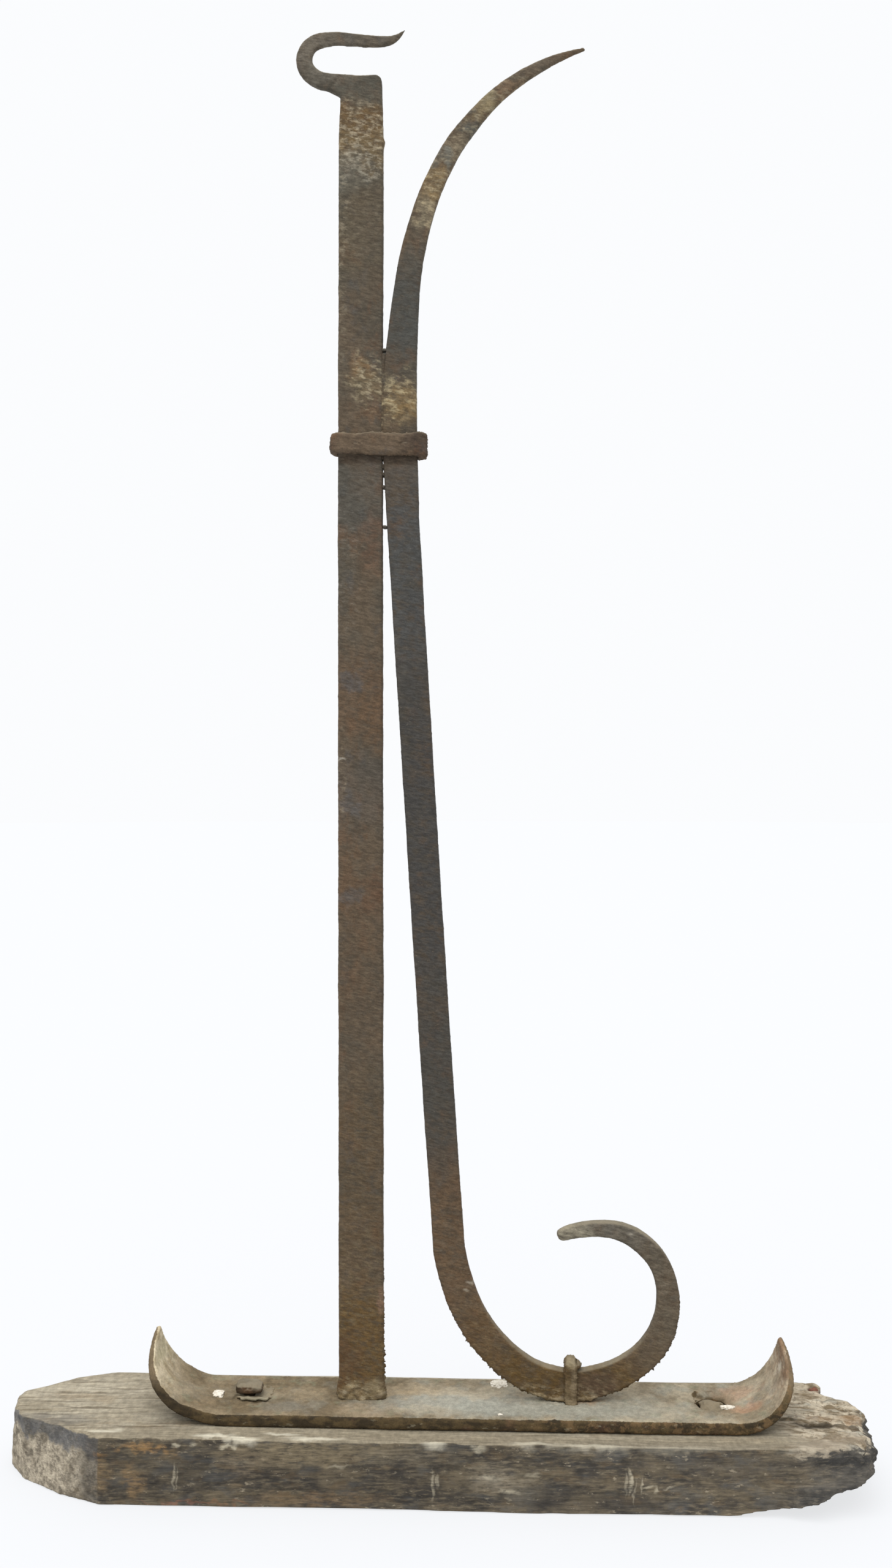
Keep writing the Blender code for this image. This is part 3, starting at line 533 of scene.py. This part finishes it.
def fine_copy(name, node, grid, surface, lumps=()):
    """A finely and evenly meshed copy of a CAD solid, with any lumps joined into it.

    A lump is the middle and the radii of an ellipsoid.
    """
    bm = bmesh.new()
    bm.from_mesh(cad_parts[node].data)
    bmesh.ops.remove_doubles(bm, verts=bm.verts, dist=0.00001)
    for middle, radii in lumps:
        matrix = Matrix.Translation(middle) @ Matrix.Diagonal((*radii, 1))
        bmesh.ops.create_icosphere(bm, subdivisions=3, radius=1, matrix=matrix)
    mesh = bpy.data.meshes.new(name)
    bm.to_mesh(mesh)
    bm.free()
    made = link(name, mesh, surface)
    remesh = made.modifiers.new("even", "REMESH")
    remesh.mode = "VOXEL"
    remesh.voxel_size = grid * COARSE
    smooth = made.modifiers.new("settle", "SMOOTH")
    smooth.factor = 0.5
    smooth.iterations = 2
    bpy.context.view_layer.update()
    even = bpy.data.meshes.new_from_object(made.evaluated_get(bpy.context.evaluated_depsgraph_get()))
    made.modifiers.clear()
    made.data = even
    even.name = name
    return made


def work_over(made, relief):
    """Move every point of a piece by its relief, a function of the point and its normal."""
    mesh = made.data
    moved = []
    for vertex, normal in zip(mesh.vertices, mesh.vertex_normals):
        moved.extend(vertex.co + relief(vertex.co, normal.vector))
    mesh.vertices.foreach_set("co", moved)
    mesh.shade_smooth()
    mesh.update()


def settle(made, node):
    """Put a piece in its CAD node's place."""
    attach(made, "root")
    if node:
        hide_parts(node)


def step(value, low, high):
    """A smooth step from 0 to 1."""
    share = min(1.0, max(0.0, (value - low) / (high - low)))
    return share * share * (3 - 2 * share)


def hammered(seed, wave=0.00026, pit=0.00012, swell=0.00022):
    """Relief of forged iron gone rusty: slow waves, dents, pits and a skin of scale."""
    shift = Vector((seed, 3.1 * seed, 1.7 * seed))

    def relief(p, n):
        q = p + shift
        pits = max(0.0, noise.noise(q * 420) - 0.15)
        return n * (swell + wave * noise.noise(q * 32) + pit * noise.noise(q * 150) - 1.8 * pit * pits)
    return relief


def flaking(seed, strength):
    """Flakes of rust that stand off the bars' edges, as strongly as is given for a point and its normal."""
    shift = Vector((seed, 0.0, 0.0))

    def relief(p, n):
        q = p + shift
        flakes = max(0.0, noise.noise(q * 560) - 0.08) + max(0.0, noise.noise(q * 1150) - 0.12)
        return n * (strength(p, n) * flakes * (1 - 0.9 * abs(n.y)))
    return relief


def together(*reliefs):
    """The sum of reliefs."""
    def relief(p, n):
        return sum((part(p, n) for part in reliefs), Vector())
    return relief


DECAY_START_X = 0.186
DECAY_FULL_X = 0.24
STUB_PLACE = Vector((0.224, 0.034, 0))


def timber_relief(p, n):
    """Grain that stands proud, slow warps, drying cracks, and the rotten, frayed right end."""
    warp = 0.0008 * noise.noise(Vector((p.x * 9, p.y * 12, p.z * 20)))
    bent = p.y + 0.004 * noise.noise(Vector((p.x * 7, 4.2, p.z * 9)))
    grain = noise.noise(Vector((p.x * 14, bent * 210, p.z * 210)))
    fine = noise.noise(Vector((p.x * 45, bent * 520, p.z * 520)))
    calm = 1 - 0.4 * step(n.z, 0.3, 0.8)
    rise = warp + calm * (0.00036 * grain + 0.00024 * fine)
    flat = step(abs(n.x), 0.75, 0.35)
    crumbs = 0.0006 * noise.noise(p * 170) + 0.0005 * noise.noise(p * 380)
    rise = rise * flat + (1 - flat) * crumbs
    if n.z > 0.5:
        for start, end, y, wide, deep in CRACKS:
            along = step(p.x, start, start + 0.012) * step(p.x, end, end - 0.012)
            apart = (p.y - y - 0.0016 * noise.noise(Vector((p.x * 30, y * 100, 0)))) / wide
            rise -= deep * along * math.exp(-apart * apart)
    if n.y < -0.4:
        gouges = max(0.0, noise.noise(Vector((p.x * 40, 7.7, p.z * 130))) - 0.1)
        rise -= 0.0014 * gouges
    decay = step(p.x, DECAY_START_X, DECAY_FULL_X)
    slanted = p.y + 0.28 * (p.x - 0.21)
    layers = noise.noise(Vector((p.x * 22, slanted * 105, p.z * 120 + 7))) + 0.55 * noise.noise(p * 210)
    rise -= 0.0044 * decay * max(0.0, layers - 0.04) * flat
    fray = noise.noise(Vector((1.3, slanted * 75, p.z * 110)))
    fray += 0.35 * noise.noise(Vector((5.3, p.y * 230, p.z * 300)))
    torn = 1 - 0.6 * step(p.z, 0.028, 0.018)
    moved = n * rise + Vector((-0.0075 * decay * torn * (fray + 0.05), 0, 0))
    belly = step(p.x, 0.19, 0.214) * step(p.z, 0.024, 0.003) * step(-n.y, 0, 0.5)
    moved += Vector((0.002, -0.0085, 0)) * belly
    near_stub = (Vector((p.x, p.y, 0)) - STUB_PLACE).length
    moved.z += 0.0022 * math.exp(-(near_stub / 0.009) ** 2) * step(n.z, 0, 0.5)
    foot = step(p.z, 0.006, 0.0) * (1 - abs(n.z))
    moved += Vector((n.x, n.y, 0)) * (0.0016 * foot * (noise.noise(Vector((p.x * 26, p.y * 26, 3))) - 0.3))
    moved.z = max(moved.z, -p.z)
    return moved


# Start, end and place of each crack along the grain, with its half width and depth.
CRACKS = (
    (-0.24, -0.178, 0.013, 0.0006, 0.0014), (-0.232, -0.19, 0.008, 0.0005, 0.001),
    (-0.215, -0.174, -0.006, 0.0006, 0.0014), (-0.238, -0.205, 0.001, 0.0005, 0.0008),
    (-0.23, -0.199, -0.0148, 0.0006, 0.0014), (-0.216, -0.192, -0.0235, 0.0005, 0.001),
    (-0.205, -0.19, -0.028, 0.0005, 0.0009), (-0.19, -0.15, -0.029, 0.0005, 0.0008),
    (-0.196, -0.168, 0.019, 0.0005, 0.0009), (0.19, 0.215, -0.0062, 0.0006, 0.0016),
    (0.205, 0.246, 0.021, 0.0008, 0.002), (0.206, 0.23, -0.0122, 0.002, 0.0044),
    (0.215, 0.25, 0.0012, 0.0008, 0.0024), (0.218, 0.25, -0.0092, 0.0009, 0.0026),
    (0.196, 0.24, -0.026, 0.0006, 0.0016), (0.2, 0.226, -0.019, 0.0006, 0.0012),
)


def make_block():
    """The weathered timber block."""
    block = fine_copy("weathered_block", "timber_base", BLOCK_GRID, timber_paint())
    work_over(block, timber_relief)
    settle(block, "timber_base")


BEND_RISE = 0.0031


def make_plate():
    """The plate with its curled ends, bent up before the left one and worn down round the sunken nail."""
    plate = fine_copy("rusted_plate", "wall_plate", IRON_GRID, plate_paint())
    nail = node_middle("right_nail")

    def bent_up(p, n):
        along = step(p.x, -0.119, -0.137) * step(p.x, -0.166, -0.152)
        return Vector((0, 0, BEND_RISE * along * step(p.y, 0.01, -0.014)))

    def worn_lip(p, n):
        away = Vector((p.x - nail.x, p.y - nail.y, 0))
        ragged = 0.0022 * noise.noise(p * 190)
        share = step(away.length + ragged, 0.015, 0.0085)
        if p.z < PLATE_TOP_Z - 0.0045 or share == 0:
            return Vector()
        lip = Vector((0, 0, -0.0021 * share * step(n.z, -0.2, 0.4)))
        return lip - away.normalized() * (0.0014 * share * noise.noise(p * 160))
    flakes = flaking(11, lambda p, n: 0.0006)
    work_over(plate, together(hammered(11, wave=0.00035, swell=0.0001), flakes, worn_lip, bent_up))
    settle(plate, "wall_plate")


def crust(top, spread):
    """Rust and dirt heaped against the foot of a bar that stands on the plate."""
    def relief(p, n):
        share = step(p.z, top, PLATE_TOP_Z) ** 2 * step(p.z, PLATE_TOP_Z - 0.001, PLATE_TOP_Z - 0.0002)
        heap = 0.65 + 0.6 * noise.noise(p * 170) + 0.45 * noise.noise(p * 380)
        return Vector((n.x, n.y, 0)) * (spread * share * max(0.0, heap))
    return relief


# On the upright's front: stains from its top to its foot, and a painted shadow across it under the collar.
UPRIGHT_STAINS_AND_SHADOW = (
    (-41.5, 781, 30, 13, 0.85, (110, 70, 32), 6), (-41.5, 765, 30, 10, 0.75, (142, 102, 53), 6),
    (-64, 822, 20, 18, 0.7, (132, 118, 94), 6), (-34, 829, 24, 8, 0.55, (116, 98, 74), 5),
    (-48, 752, 10, 12, 0.6, (115, 115, 98), 5), (-41.5, 722, 30, 30, 0.6, (88, 72, 47), 8),
    (-34, 700, 8, 40, 0.45, (85, 68, 48), 8), (-40, 640, 8, 6, 0.7, (165, 103, 50), 4),
    (-37, 630, 9, 8, 0.65, (150, 113, 64), 5), (-40, 801, 20, 10, 0.75, (68, 66, 53), 4),
    (-41.5, 565, 30, 22, 0.5, (78, 74, 64), 8), (-34, 540, 7, 18, 0.55, (120, 68, 42), 6),
    (-41.5, 452, 30, 22, 0.6, (110, 68, 40), 10), (-41.5, 395, 30, 20, 0.5, (88, 72, 58), 10),
    (-41.5, 300, 30, 60, 0.55, (84, 57, 35), 10), (-47.5, 458.4, 5, 6, 0.6, (78, 80, 82), 6),
    (-48.5, 388, 5, 8, 0.55, (85, 83, 81), 6), (-48, 334.4, 6, 6, 0.55, (75, 74, 74), 6),
    (-33.5, 438, 7, 20, 0.5, (110, 66, 36), 8), (-35, 336, 8, 12, 0.55, (100, 56, 34), 8),
    (-41.5, 170, 30, 60, 0.6, (84, 54, 27), 10), (-41.5, 75, 30, 34, 0.75, (104, 59, 18), 8),
    (-50, 70, 8, 14, 0.55, (85, 48, 28), 5), (-41.5, 47, 30, 6, 0.7, (175, 132, 70), 5),
    (-33.5, 53, 6, 5, 0.6, (190, 150, 88), 4), (-29.5, 101, 3, 8, 0.65, (200, 120, 80), 3),
    # A painted shadow across the bar under the collar.
    (-41.5, 587.2, 30, 2.8, 0.85, (40, 28, 19), 1),
)

# Groups of pale flecks on its front.
UPRIGHT_FLECKS = (
    (-41.5, 774, 30, 20, 0.85, (340, 285, 195), 6), (-44, 757, 14, 8, 0.5, (270, 258, 212), 6),
    (-41.5, 730, 30, 30, 0.25, (210, 180, 130), 8), (-53, 700, 3, 60, 0.55, (250, 210, 145), 4),
    (-37, 633, 11, 14, 0.85, (340, 285, 185), 5), (-50, 520, 8, 40, 0.3, (190, 170, 140), 8),
    (-53, 405, 3, 30, 0.45, (240, 195, 135), 4), (-41.5, 230, 30, 120, 0.2, (170, 135, 90), 10),
    (-41.5, 90, 30, 50, 0.25, (180, 140, 75), 8), (-41.5, 49, 30, 7, 0.65, (300, 250, 160), 4),
    (-55.5, 414.5, 5, 1.2, 0.9, (420, 390, 330), 1.5),
)


def make_upright():
    """The upright and its hook."""
    tones = (0.074, 0.064, 0.048), (0.098, 0.074, 0.05)
    stains_and_painted_light, flecks = (BAR_FRONT, UPRIGHT_STAINS_AND_SHADOW), (BAR_FRONT, UPRIGHT_FLECKS)
    look = iron_paint("upright_look", 1, tones, 0.8, (stains_and_painted_light,), (flecks,))
    bar = fine_copy("forged_upright", "upright_bar", IRON_GRID, look)
    nub = Vector((UPRIGHT_X + 0.0127, IRON_Y, 0.771))
    root = Vector((-0.0582, IRON_Y, 0.8035))
    tip = Vector((UPRIGHT_HIGH.x, IRON_Y, UPRIGHT_HIGH.z))
    down = Vector((-0.45, 0, -0.6)).normalized()
    across = Vector((down.z, 0, -down.x))

    def marks(p, n):
        raised = n * (0.0009 * math.exp(-((p - nub).length / 0.0022) ** 2))
        away = p - root
        fold = math.exp(-(away.dot(across) / 0.001) ** 2) * step(abs(away.dot(down)), 0.0085, 0.005)
        sharpened = 0.0009 * math.exp(-((p - tip).length / 0.005) ** 2)
        return raised - n * (0.0007 * fold * step(-n.y, 0.2, 0.8) + sharpened)

    def fraying(p, n):
        return 0.0002 + 0.002 * step(p.z, 0.135, 0.06) * step(n.x, 0, 0.5)
    work_over(bar, together(hammered(1), marks, flaking(1, fraying), crust(0.062, 0.0026)))
    settle(bar, "upright_bar")
    return bar


# On the brace's front: stains from its horn to its scroll, and a painted shadow across it under the collar.
BRACE_STAINS_AND_SHADOW = (
    (62, 813.5, 12, 7, 0.7, (125, 96, 68), 5), (42, 801, 8, 8, 0.75, (165, 112, 68), 6),
    (31, 791, 9, 7, 0.8, (205, 165, 95), 7), (21.8, 780, 7, 5, 0.6, (92, 98, 88), 8),
    (13, 769, 7, 6, 0.75, (190, 155, 105), 7), (5, 760, 8, 5, 0.7, (150, 150, 125), 8),
    (0, 746, 8, 9, 0.8, (190, 135, 68), 7), (-3, 730, 5, 10, 0.75, (210, 175, 115), 6),
    (-10, 705, 10, 12, 0.6, (90, 75, 55), 4), (-15, 672, 30, 28, 0.78, (58, 59, 53), 8),
    (-20, 621, 10, 8, 0.8, (180, 125, 62), 5), (-15, 613, 8, 6, 0.8, (180, 120, 55), 4),
    (-12, 520, 30, 65, 0.88, (59, 60, 58), 10), (-4, 370, 30, 110, 0.92, (47, 45, 42), 10),
    (3, 225, 30, 55, 0.85, (50, 47, 41), 10), (15, 135, 30, 48, 0.65, (98, 58, 30), 8),
    (40, 80, 30, 22, 0.65, (92, 55, 24), 8), (78, 50, 60, 26, 0.78, (88, 52, 16), 8),
    (95, 56, 12, 8, 0.65, (75, 50, 36), 5), (136, 110, 20, 40, 0.6, (98, 83, 60), 8),
    (105, 144, 24, 12, 0.65, (128, 114, 90), 8), (76, 140.5, 16, 8, 0.8, (240, 215, 158), 4),
    (64, 46.2, 20, 3, 0.65, (190, 145, 80), 4), (21.5, 112.5, 2.6, 0.9, 0.7, (300, 260, 200), 1.2),
    (19, 108.5, 1.8, 0.9, 0.7, (280, 240, 180), 1.2), (112.5, 142.8, 2, 1, 0.6, (280, 250, 200), 1),
    # The first row here: a painted shadow across the bar under the collar.
    (-18, 587.2, 30, 2.8, 0.85, (36, 26, 18), 1), (5, 403.5, 1.6, 0.8, 0.95, (450, 420, 360), 0.6),
)

# Groups of pale flecks on its front.
BRACE_FLECKS = (
    (20, 780, 50, 40, 0.6, (300, 255, 170), 6), (-3, 738, 8, 22, 0.65, (340, 275, 170), 5),
    (-21.5, 623, 13, 15, 0.8, (335, 275, 165), 5), (15, 130, 30, 50, 0.25, (175, 130, 85), 8),
    (70, 70, 80, 30, 0.28, (185, 140, 80), 8), (130, 125, 20, 30, 0.3, (190, 160, 120), 6),
    (72, 49, 30, 6, 0.6, (290, 235, 150), 4),
)


def make_brace():
    """The brace with its horn and its scroll."""
    tones = (0.074, 0.063, 0.047), (0.098, 0.07, 0.044)
    stains_and_painted_light, flecks = (BAR_FRONT, BRACE_STAINS_AND_SHADOW), (BAR_FRONT, BRACE_FLECKS)
    look = iron_paint("brace_look", 2, tones, 0.6, (stains_and_painted_light,), (flecks,))
    brace = fine_copy("forged_brace", "scroll_brace", IRON_GRID, look)
    eye = Vector((0.085, IRON_Y, 0.097))

    def fraying(p, n):
        outside = step(n.dot((p - eye).normalized()), 0, 0.5)
        return 0.0002 + 0.0018 * outside * step(p.z, 0.125, 0.06)
    work_over(brace, together(hammered(2), flaking(2, fraying), crust(0.052, 0.0028)))
    settle(brace, "scroll_brace")
    return brace


OUTLINE_LEVEL = 0.002


def outline(piece, side):
    """A function of the height: the outermost X of a piece on its right (1) or left (-1)."""
    reach = {}
    for vertex in piece.data.vertices:
        level = round(vertex.co.z / OUTLINE_LEVEL)
        reach[level] = max(side * vertex.co.x, reach.get(level, -1.0))
    return lambda z: side * reach[round(z / OUTLINE_LEVEL)]


PACKING_SIDES = 20
PACKING_PITCH = 0.0006
PACKING_HALF_DEPTH = 0.0031


def make_packing(upright, brace, surface):
    """Rust that fills the gap between the bars, above the collar and in bridges below it."""
    upright_side = outline(upright, 1)
    brace_side = outline(brace, -1)
    bm = bmesh.new()
    stretches = (
        (COLLAR_HIGH.z - 0.0005, 0.6482), (0.65, 0.6512), (0.5872, COLLAR_LOW.z + 0.0005), (0.5822, 0.5846),
        (0.5779, 0.5797), (0.5709, 0.5723), (0.548, 0.5492),
    )
    for low, high in stretches:
        cover = 0.0012 if low > COLLAR_LOW.z else 0.0003
        count = max(3, round((high - low) / PACKING_PITCH))
        rings = []
        for i in range(count + 1):
            z = low + (high - low) * i / count
            left, right = upright_side(z), brace_side(z)
            middle = Vector(((left + right) / 2, IRON_Y + 0.0001, z))
            taper = 0.35 + 0.65 * math.sin(math.pi * (i + 0.5) / (count + 1)) ** 0.3
            half_x = (max(0.0002, (right - left) / 2) + cover) * taper
            ring = []
            for k in range(PACKING_SIDES):
                angle = 2 * math.pi * k / PACKING_SIDES
                across, along = math.cos(angle), math.sin(angle)
                across = math.copysign(abs(across) ** 0.6, across)
                along = math.copysign(abs(along) ** 0.5, along)
                way = Vector((half_x * across, PACKING_HALF_DEPTH * along, 0))
                rough = 1 + 0.16 * noise.noise((middle + way) * 500)
                ring.append(bm.verts.new(middle + way * rough))
            rings.append(ring)
        for lower, upper in zip(rings, rings[1:]):
            for k in range(PACKING_SIDES):
                bm.faces.new((lower[k - 1], lower[k], upper[k], upper[k - 1]))
        bm.faces.new(reversed(rings[0]))
        bm.faces.new(rings[-1])
    mesh = bpy.data.meshes.new("packed_rust")
    bm.to_mesh(mesh)
    bm.free()
    mesh.shade_smooth()
    settle(link("packed_rust", mesh, surface), None)


def make_collar():
    """The collar, drawn taller at its right end, with uneven lips."""
    look = iron_paint("collar_look", 3, ((0.056, 0.04, 0.029), (0.11, 0.079, 0.052)), 0.4, arris=0.5)
    collar = fine_copy("shrunk_collar", "bar_collar", COLLAR_GRID, look)
    middle = node_middle("bar_collar")

    def uneven(p, n):
        tall = 0.09 * step(p.x, COLLAR_LOW.x, COLLAR_HIGH.x)
        high = p.z - middle.z
        lips = 0.0009 * noise.noise(Vector((p.x * 90, p.y * 60, 5 + p.z * 8)))
        return Vector((0, 0, high * tall + math.copysign(1, high) * lips))
    work_over(collar, together(hammered(3, wave=0.0006, pit=0.0003), flaking(3, lambda p, n: 0.0009), uneven))
    settle(collar, "bar_collar")


def make_clip():
    """The strap over the scroll's foot: rounded top, a ridge down its front and a burr beside its top."""
    ridge_x = CLIP_LOW.x + 0.005
    front = CLIP_LOW.y
    at_x = 1000 * ridge_x
    # A painted highlight down the ridge.
    ridge = ((at_x, 55, 1.8, 16, 0.8, (190, 146, 90), 2),)
    khaki = (
        (at_x - 1.4, 69, 3.5, 3.5, 0.7, (220, 175, 100), 1), (at_x - 4, 51, 3, 8, 0.55, (180, 137, 78), 2),
        (at_x - 2, 46, 6, 3, 0.7, (240, 190, 118), 2),
    )
    stains_and_painted_light = (("Y", front, 0.004), ridge), (("Y", front, 0.01), khaki)
    tones = (0.08, 0.052, 0.024), (0.12, 0.082, 0.043)
    look = iron_paint("clip_look", 4, tones, 0.5, stains_and_painted_light, rust=0.3, bare=0.15)
    burr = (Vector((CLIP_HIGH.x + 0.0007, IRON_Y - 0.001, 0.0662)), Vector((0.0022, 0.004, 0.0019)))
    clip = fine_copy("riveted_clip", "foot_clip", SMALL_GRID, look, lumps=(burr,))
    middle_x = (CLIP_LOW.x + CLIP_HIGH.x) / 2
    half = (CLIP_HIGH.x - CLIP_LOW.x) / 2

    def rounded(p, n):
        across = min(1.0, abs(p.x - middle_x) / half)
        top = step(p.z, CLIP_HIGH.z - 0.005, CLIP_HIGH.z) * (1.0 if p.x < CLIP_HIGH.x else 0.0)
        drop = half * 0.9 * (1 - math.sqrt(max(0.0, 1 - across * across))) * top
        ridge = 0.0007 * math.exp(-((p.x - ridge_x) / 0.001) ** 2) * step(-n.y, 0.2, 0.8)
        return Vector((0, -ridge, -drop))
    work_over(clip, together(hammered(4, wave=0.0004, pit=0.0003), flaking(4, lambda p, n: 0.001), rounded))
    settle(clip, "foot_clip")


def make_nails():
    """Both nails, the washer and the broken stub."""
    khaki = (0.115, 0.086, 0.05), (0.18, 0.14, 0.086)
    dark = (0.034, 0.023, 0.013), (0.056, 0.038, 0.022)
    worn = (0.11, 0.08, 0.045), (0.17, 0.13, 0.08)
    red = (0.16, 0.068, 0.044), (0.11, 0.05, 0.034)
    lip = ((-102, -11.2, 11, 2.2, 0.8, (260, 240, 170), 1),)
    lip = ((("Z", PLATE_TOP_Z, 0.004), lip),)
    pieces = (
        ("domed_nail", "left_nail", SMALL_GRID, "left_nail_iron", dark, 0.7, 21, (), head_relief),
        ("bent_rove", "left_rove", SMALL_GRID, "rove_iron", khaki, 0.6, 22, lip, rove_relief),
        ("sunken_nail", "right_nail", SMALL_GRID, "right_nail_iron", worn, 0.6, 23, (), sunken_relief),
        ("rusted_stub", "nail_stub", STUB_GRID, "stub_iron", red, 0.0, 24, (), stub_relief),
    )
    for name, node, grid, slot_name, tones, dust, seed, stains_and_painted_light, shape in pieces:
        look = iron_paint(name + "_look", seed, tones, dust, stains_and_painted_light, arris=0.0)
        piece = fine_copy(name, node, grid, look)
        work_over(piece, together(hammered(seed, wave=0.0008, pit=0.0005), shape))
        settle(piece, node)


def head_relief(p, n):
    """The left head: lower at its right, its edges worn and uneven."""
    low, high = (Vector(corner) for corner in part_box("left_nail"))
    middle = (low + high) / 2
    away = math.hypot((p.x - middle.x) / (high.x - low.x), (p.y - middle.y) / (high.y - low.y)) * 2
    above = step(p.z, PLATE_TOP_Z + 0.002, high.z)
    raised = above * (0.0008 - 0.0006 * away * away - 0.001 * (p.x - low.x) / (high.x - low.x))
    worn = 0.0009 * noise.noise(p * 170 + Vector((21, 0, 0)))
    return Vector((0, 0, raised)) + Vector((n.x, n.y, 0.3 * n.z)) * worn


def rove_relief(p, n):
    """The washer: pressed into the rust round it, but for a broken lip raised at its front."""
    low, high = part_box("left_rove")
    front = step(p.y, low[1] + 0.005, low[1] + 0.001)
    middle = Vector(((low[0] + high[0]) / 2, (low[1] + high[1]) / 2, p.z))
    away = p - middle
    edge = step(away.length, 0.004, 0.009)
    upper = step(p.z, low[2] + 0.0004, low[2] + 0.0014)
    lift = 0.0006 * front * noise.noise(Vector((p.x * 260, 3.1, 0))) - 0.002 * upper * (1 - 0.75 * front)
    torn = 0.002 * noise.noise(Vector((p.x * 300, p.y * 300, 1.7))) * edge - 0.0012 * edge * (1 - front)
    return Vector((0, -0.0012 * front, lift)) + away.normalized() * torn


def sunken_relief(p, n):
    """The right head: swollen with rust until it almost fills its hole."""
    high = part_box("right_nail")[1]
    above = step(p.z, high[2] - 0.005, high[2] - 0.003)
    swollen = 0.0014 + 0.0016 * noise.noise(p * 200)
    return Vector((n.x, n.y, 0)) * (swollen * above) + Vector((0, 0, 0.0012 * above * noise.noise(p * 220)))


def stub_relief(p, n):
    """The stub: torn at its top."""
    torn = 0.001 * noise.noise(p * 500) - 0.0004
    return Vector((0, 0, torn * step(p.z, BLOCK_HIGH.z - 0.002, BLOCK_HIGH.z + 0.001)))


def make_crumbs(surface):
    """Thin flakes of limewash that stick to the plate: place, radii, height and squareness."""
    crumbs = (
        ("lime_crumb_left", (-0.1246, -0.0042, PLATE_TOP_Z + 0.0007), (0.0034, 0.0044), 0.0009, 0.45),
        ("lime_crumb_back", (0.0379, 0.0165, PLATE_TOP_Z), (0.005, 0.0046), 0.0014, 0.1),
        ("lime_crumb_small", (0.0387, -0.0225, PLATE_TOP_Z), (0.0014, 0.0012), 0.0004, 0.0),
        ("lime_crumb_nail", (0.168, -0.0088, PLATE_TOP_Z), (0.0046, 0.0019), 0.001, 0.0),
    )
    for seed, (name, place, (reach_x, reach_y), height, square) in enumerate(crumbs):
        bm = bmesh.new()
        bmesh.ops.create_icosphere(bm, subdivisions=5, radius=1)
        for vertex in bm.verts:
            way = vertex.co.copy()
            swell = 1 + 0.3 * noise.noise(way * 1.6 + Vector((seed, 0, 0))) + 0.15 * noise.noise(way * 6)
            swell *= max(abs(way.x), abs(way.y), 0.01) ** -square
            rough = 0.25 * noise.noise(way * 9 + Vector((0, seed, 0)))
            shape = Vector((way.x * reach_x * swell, way.y * reach_y * swell, (way.z + rough) * height))
            vertex.co = Vector(place) + shape
        mesh = bpy.data.meshes.new(name)
        bm.to_mesh(mesh)
        bm.free()
        mesh.shade_smooth()
        settle(link(name, mesh, surface), None)


# Studio ---------------------------------------------------------------------------------

WORLD_COLOUR = (0.965, 0.975, 0.99)
SUN_STRENGTH = 2.4
SUN_TILT = (math.radians(22), math.radians(-8), 0)
FLOOR_COLOUR = (0.545, 0.555, 0.58)
FLOOR_SHARE = 0.28
FLOOR_GLOW = 0.74
SUN_SPREAD = math.radians(60)
FLOOR_RADIUS = 14
CAMERA_PLACE = (0.0374, -0.7981, 0.4)
CAMERA_TURN = (math.radians(90), 0, math.radians(2.15))
CAMERA_LENS = 31.63
CAMERA_SENSOR = 36


def make_studio():
    """A pale floor, an even pale sky, a wide soft lamp overhead, and the camera."""
    bm = bmesh.new()
    bmesh.ops.create_circle(bm, cap_ends=True, segments=96, radius=FLOOR_RADIUS)
    mesh = bpy.data.meshes.new("studio_floor")
    bm.to_mesh(mesh)
    bm.free()
    floor = link("studio_floor", mesh, floor_paint())
    world = bpy.data.worlds.new("studio_sky")
    world.use_nodes = True
    sky = world.node_tree.nodes["Background"]
    sky.inputs["Color"].default_value = (*WORLD_COLOUR, 1)
    sky.inputs["Strength"].default_value = 1.0
    scene = bpy.context.scene
    scene.world = world
    scene.view_settings.view_transform = "Standard"
    lamp = bpy.data.lights.new("overhead_softbox", "SUN")
    lamp.energy = SUN_STRENGTH
    lamp.angle = SUN_SPREAD
    softbox = bpy.data.objects.new("overhead_softbox", lamp)
    softbox.rotation_euler = SUN_TILT
    scene.collection.objects.link(softbox)
    lens = bpy.data.cameras.new("camera")
    lens.lens = CAMERA_LENS
    lens.sensor_width = CAMERA_SENSOR
    camera = bpy.data.objects.new("camera", lens)
    camera.location = CAMERA_PLACE
    camera.rotation_euler = CAMERA_TURN
    scene.collection.objects.link(camera)
    scene.camera = camera


make_block()
make_plate()
UPRIGHT = make_upright()
BRACE = make_brace()
make_packing(UPRIGHT, BRACE, BRACE.data.materials[0])
make_collar()
make_clip()
make_nails()
make_crumbs(lime_paint())
make_studio()
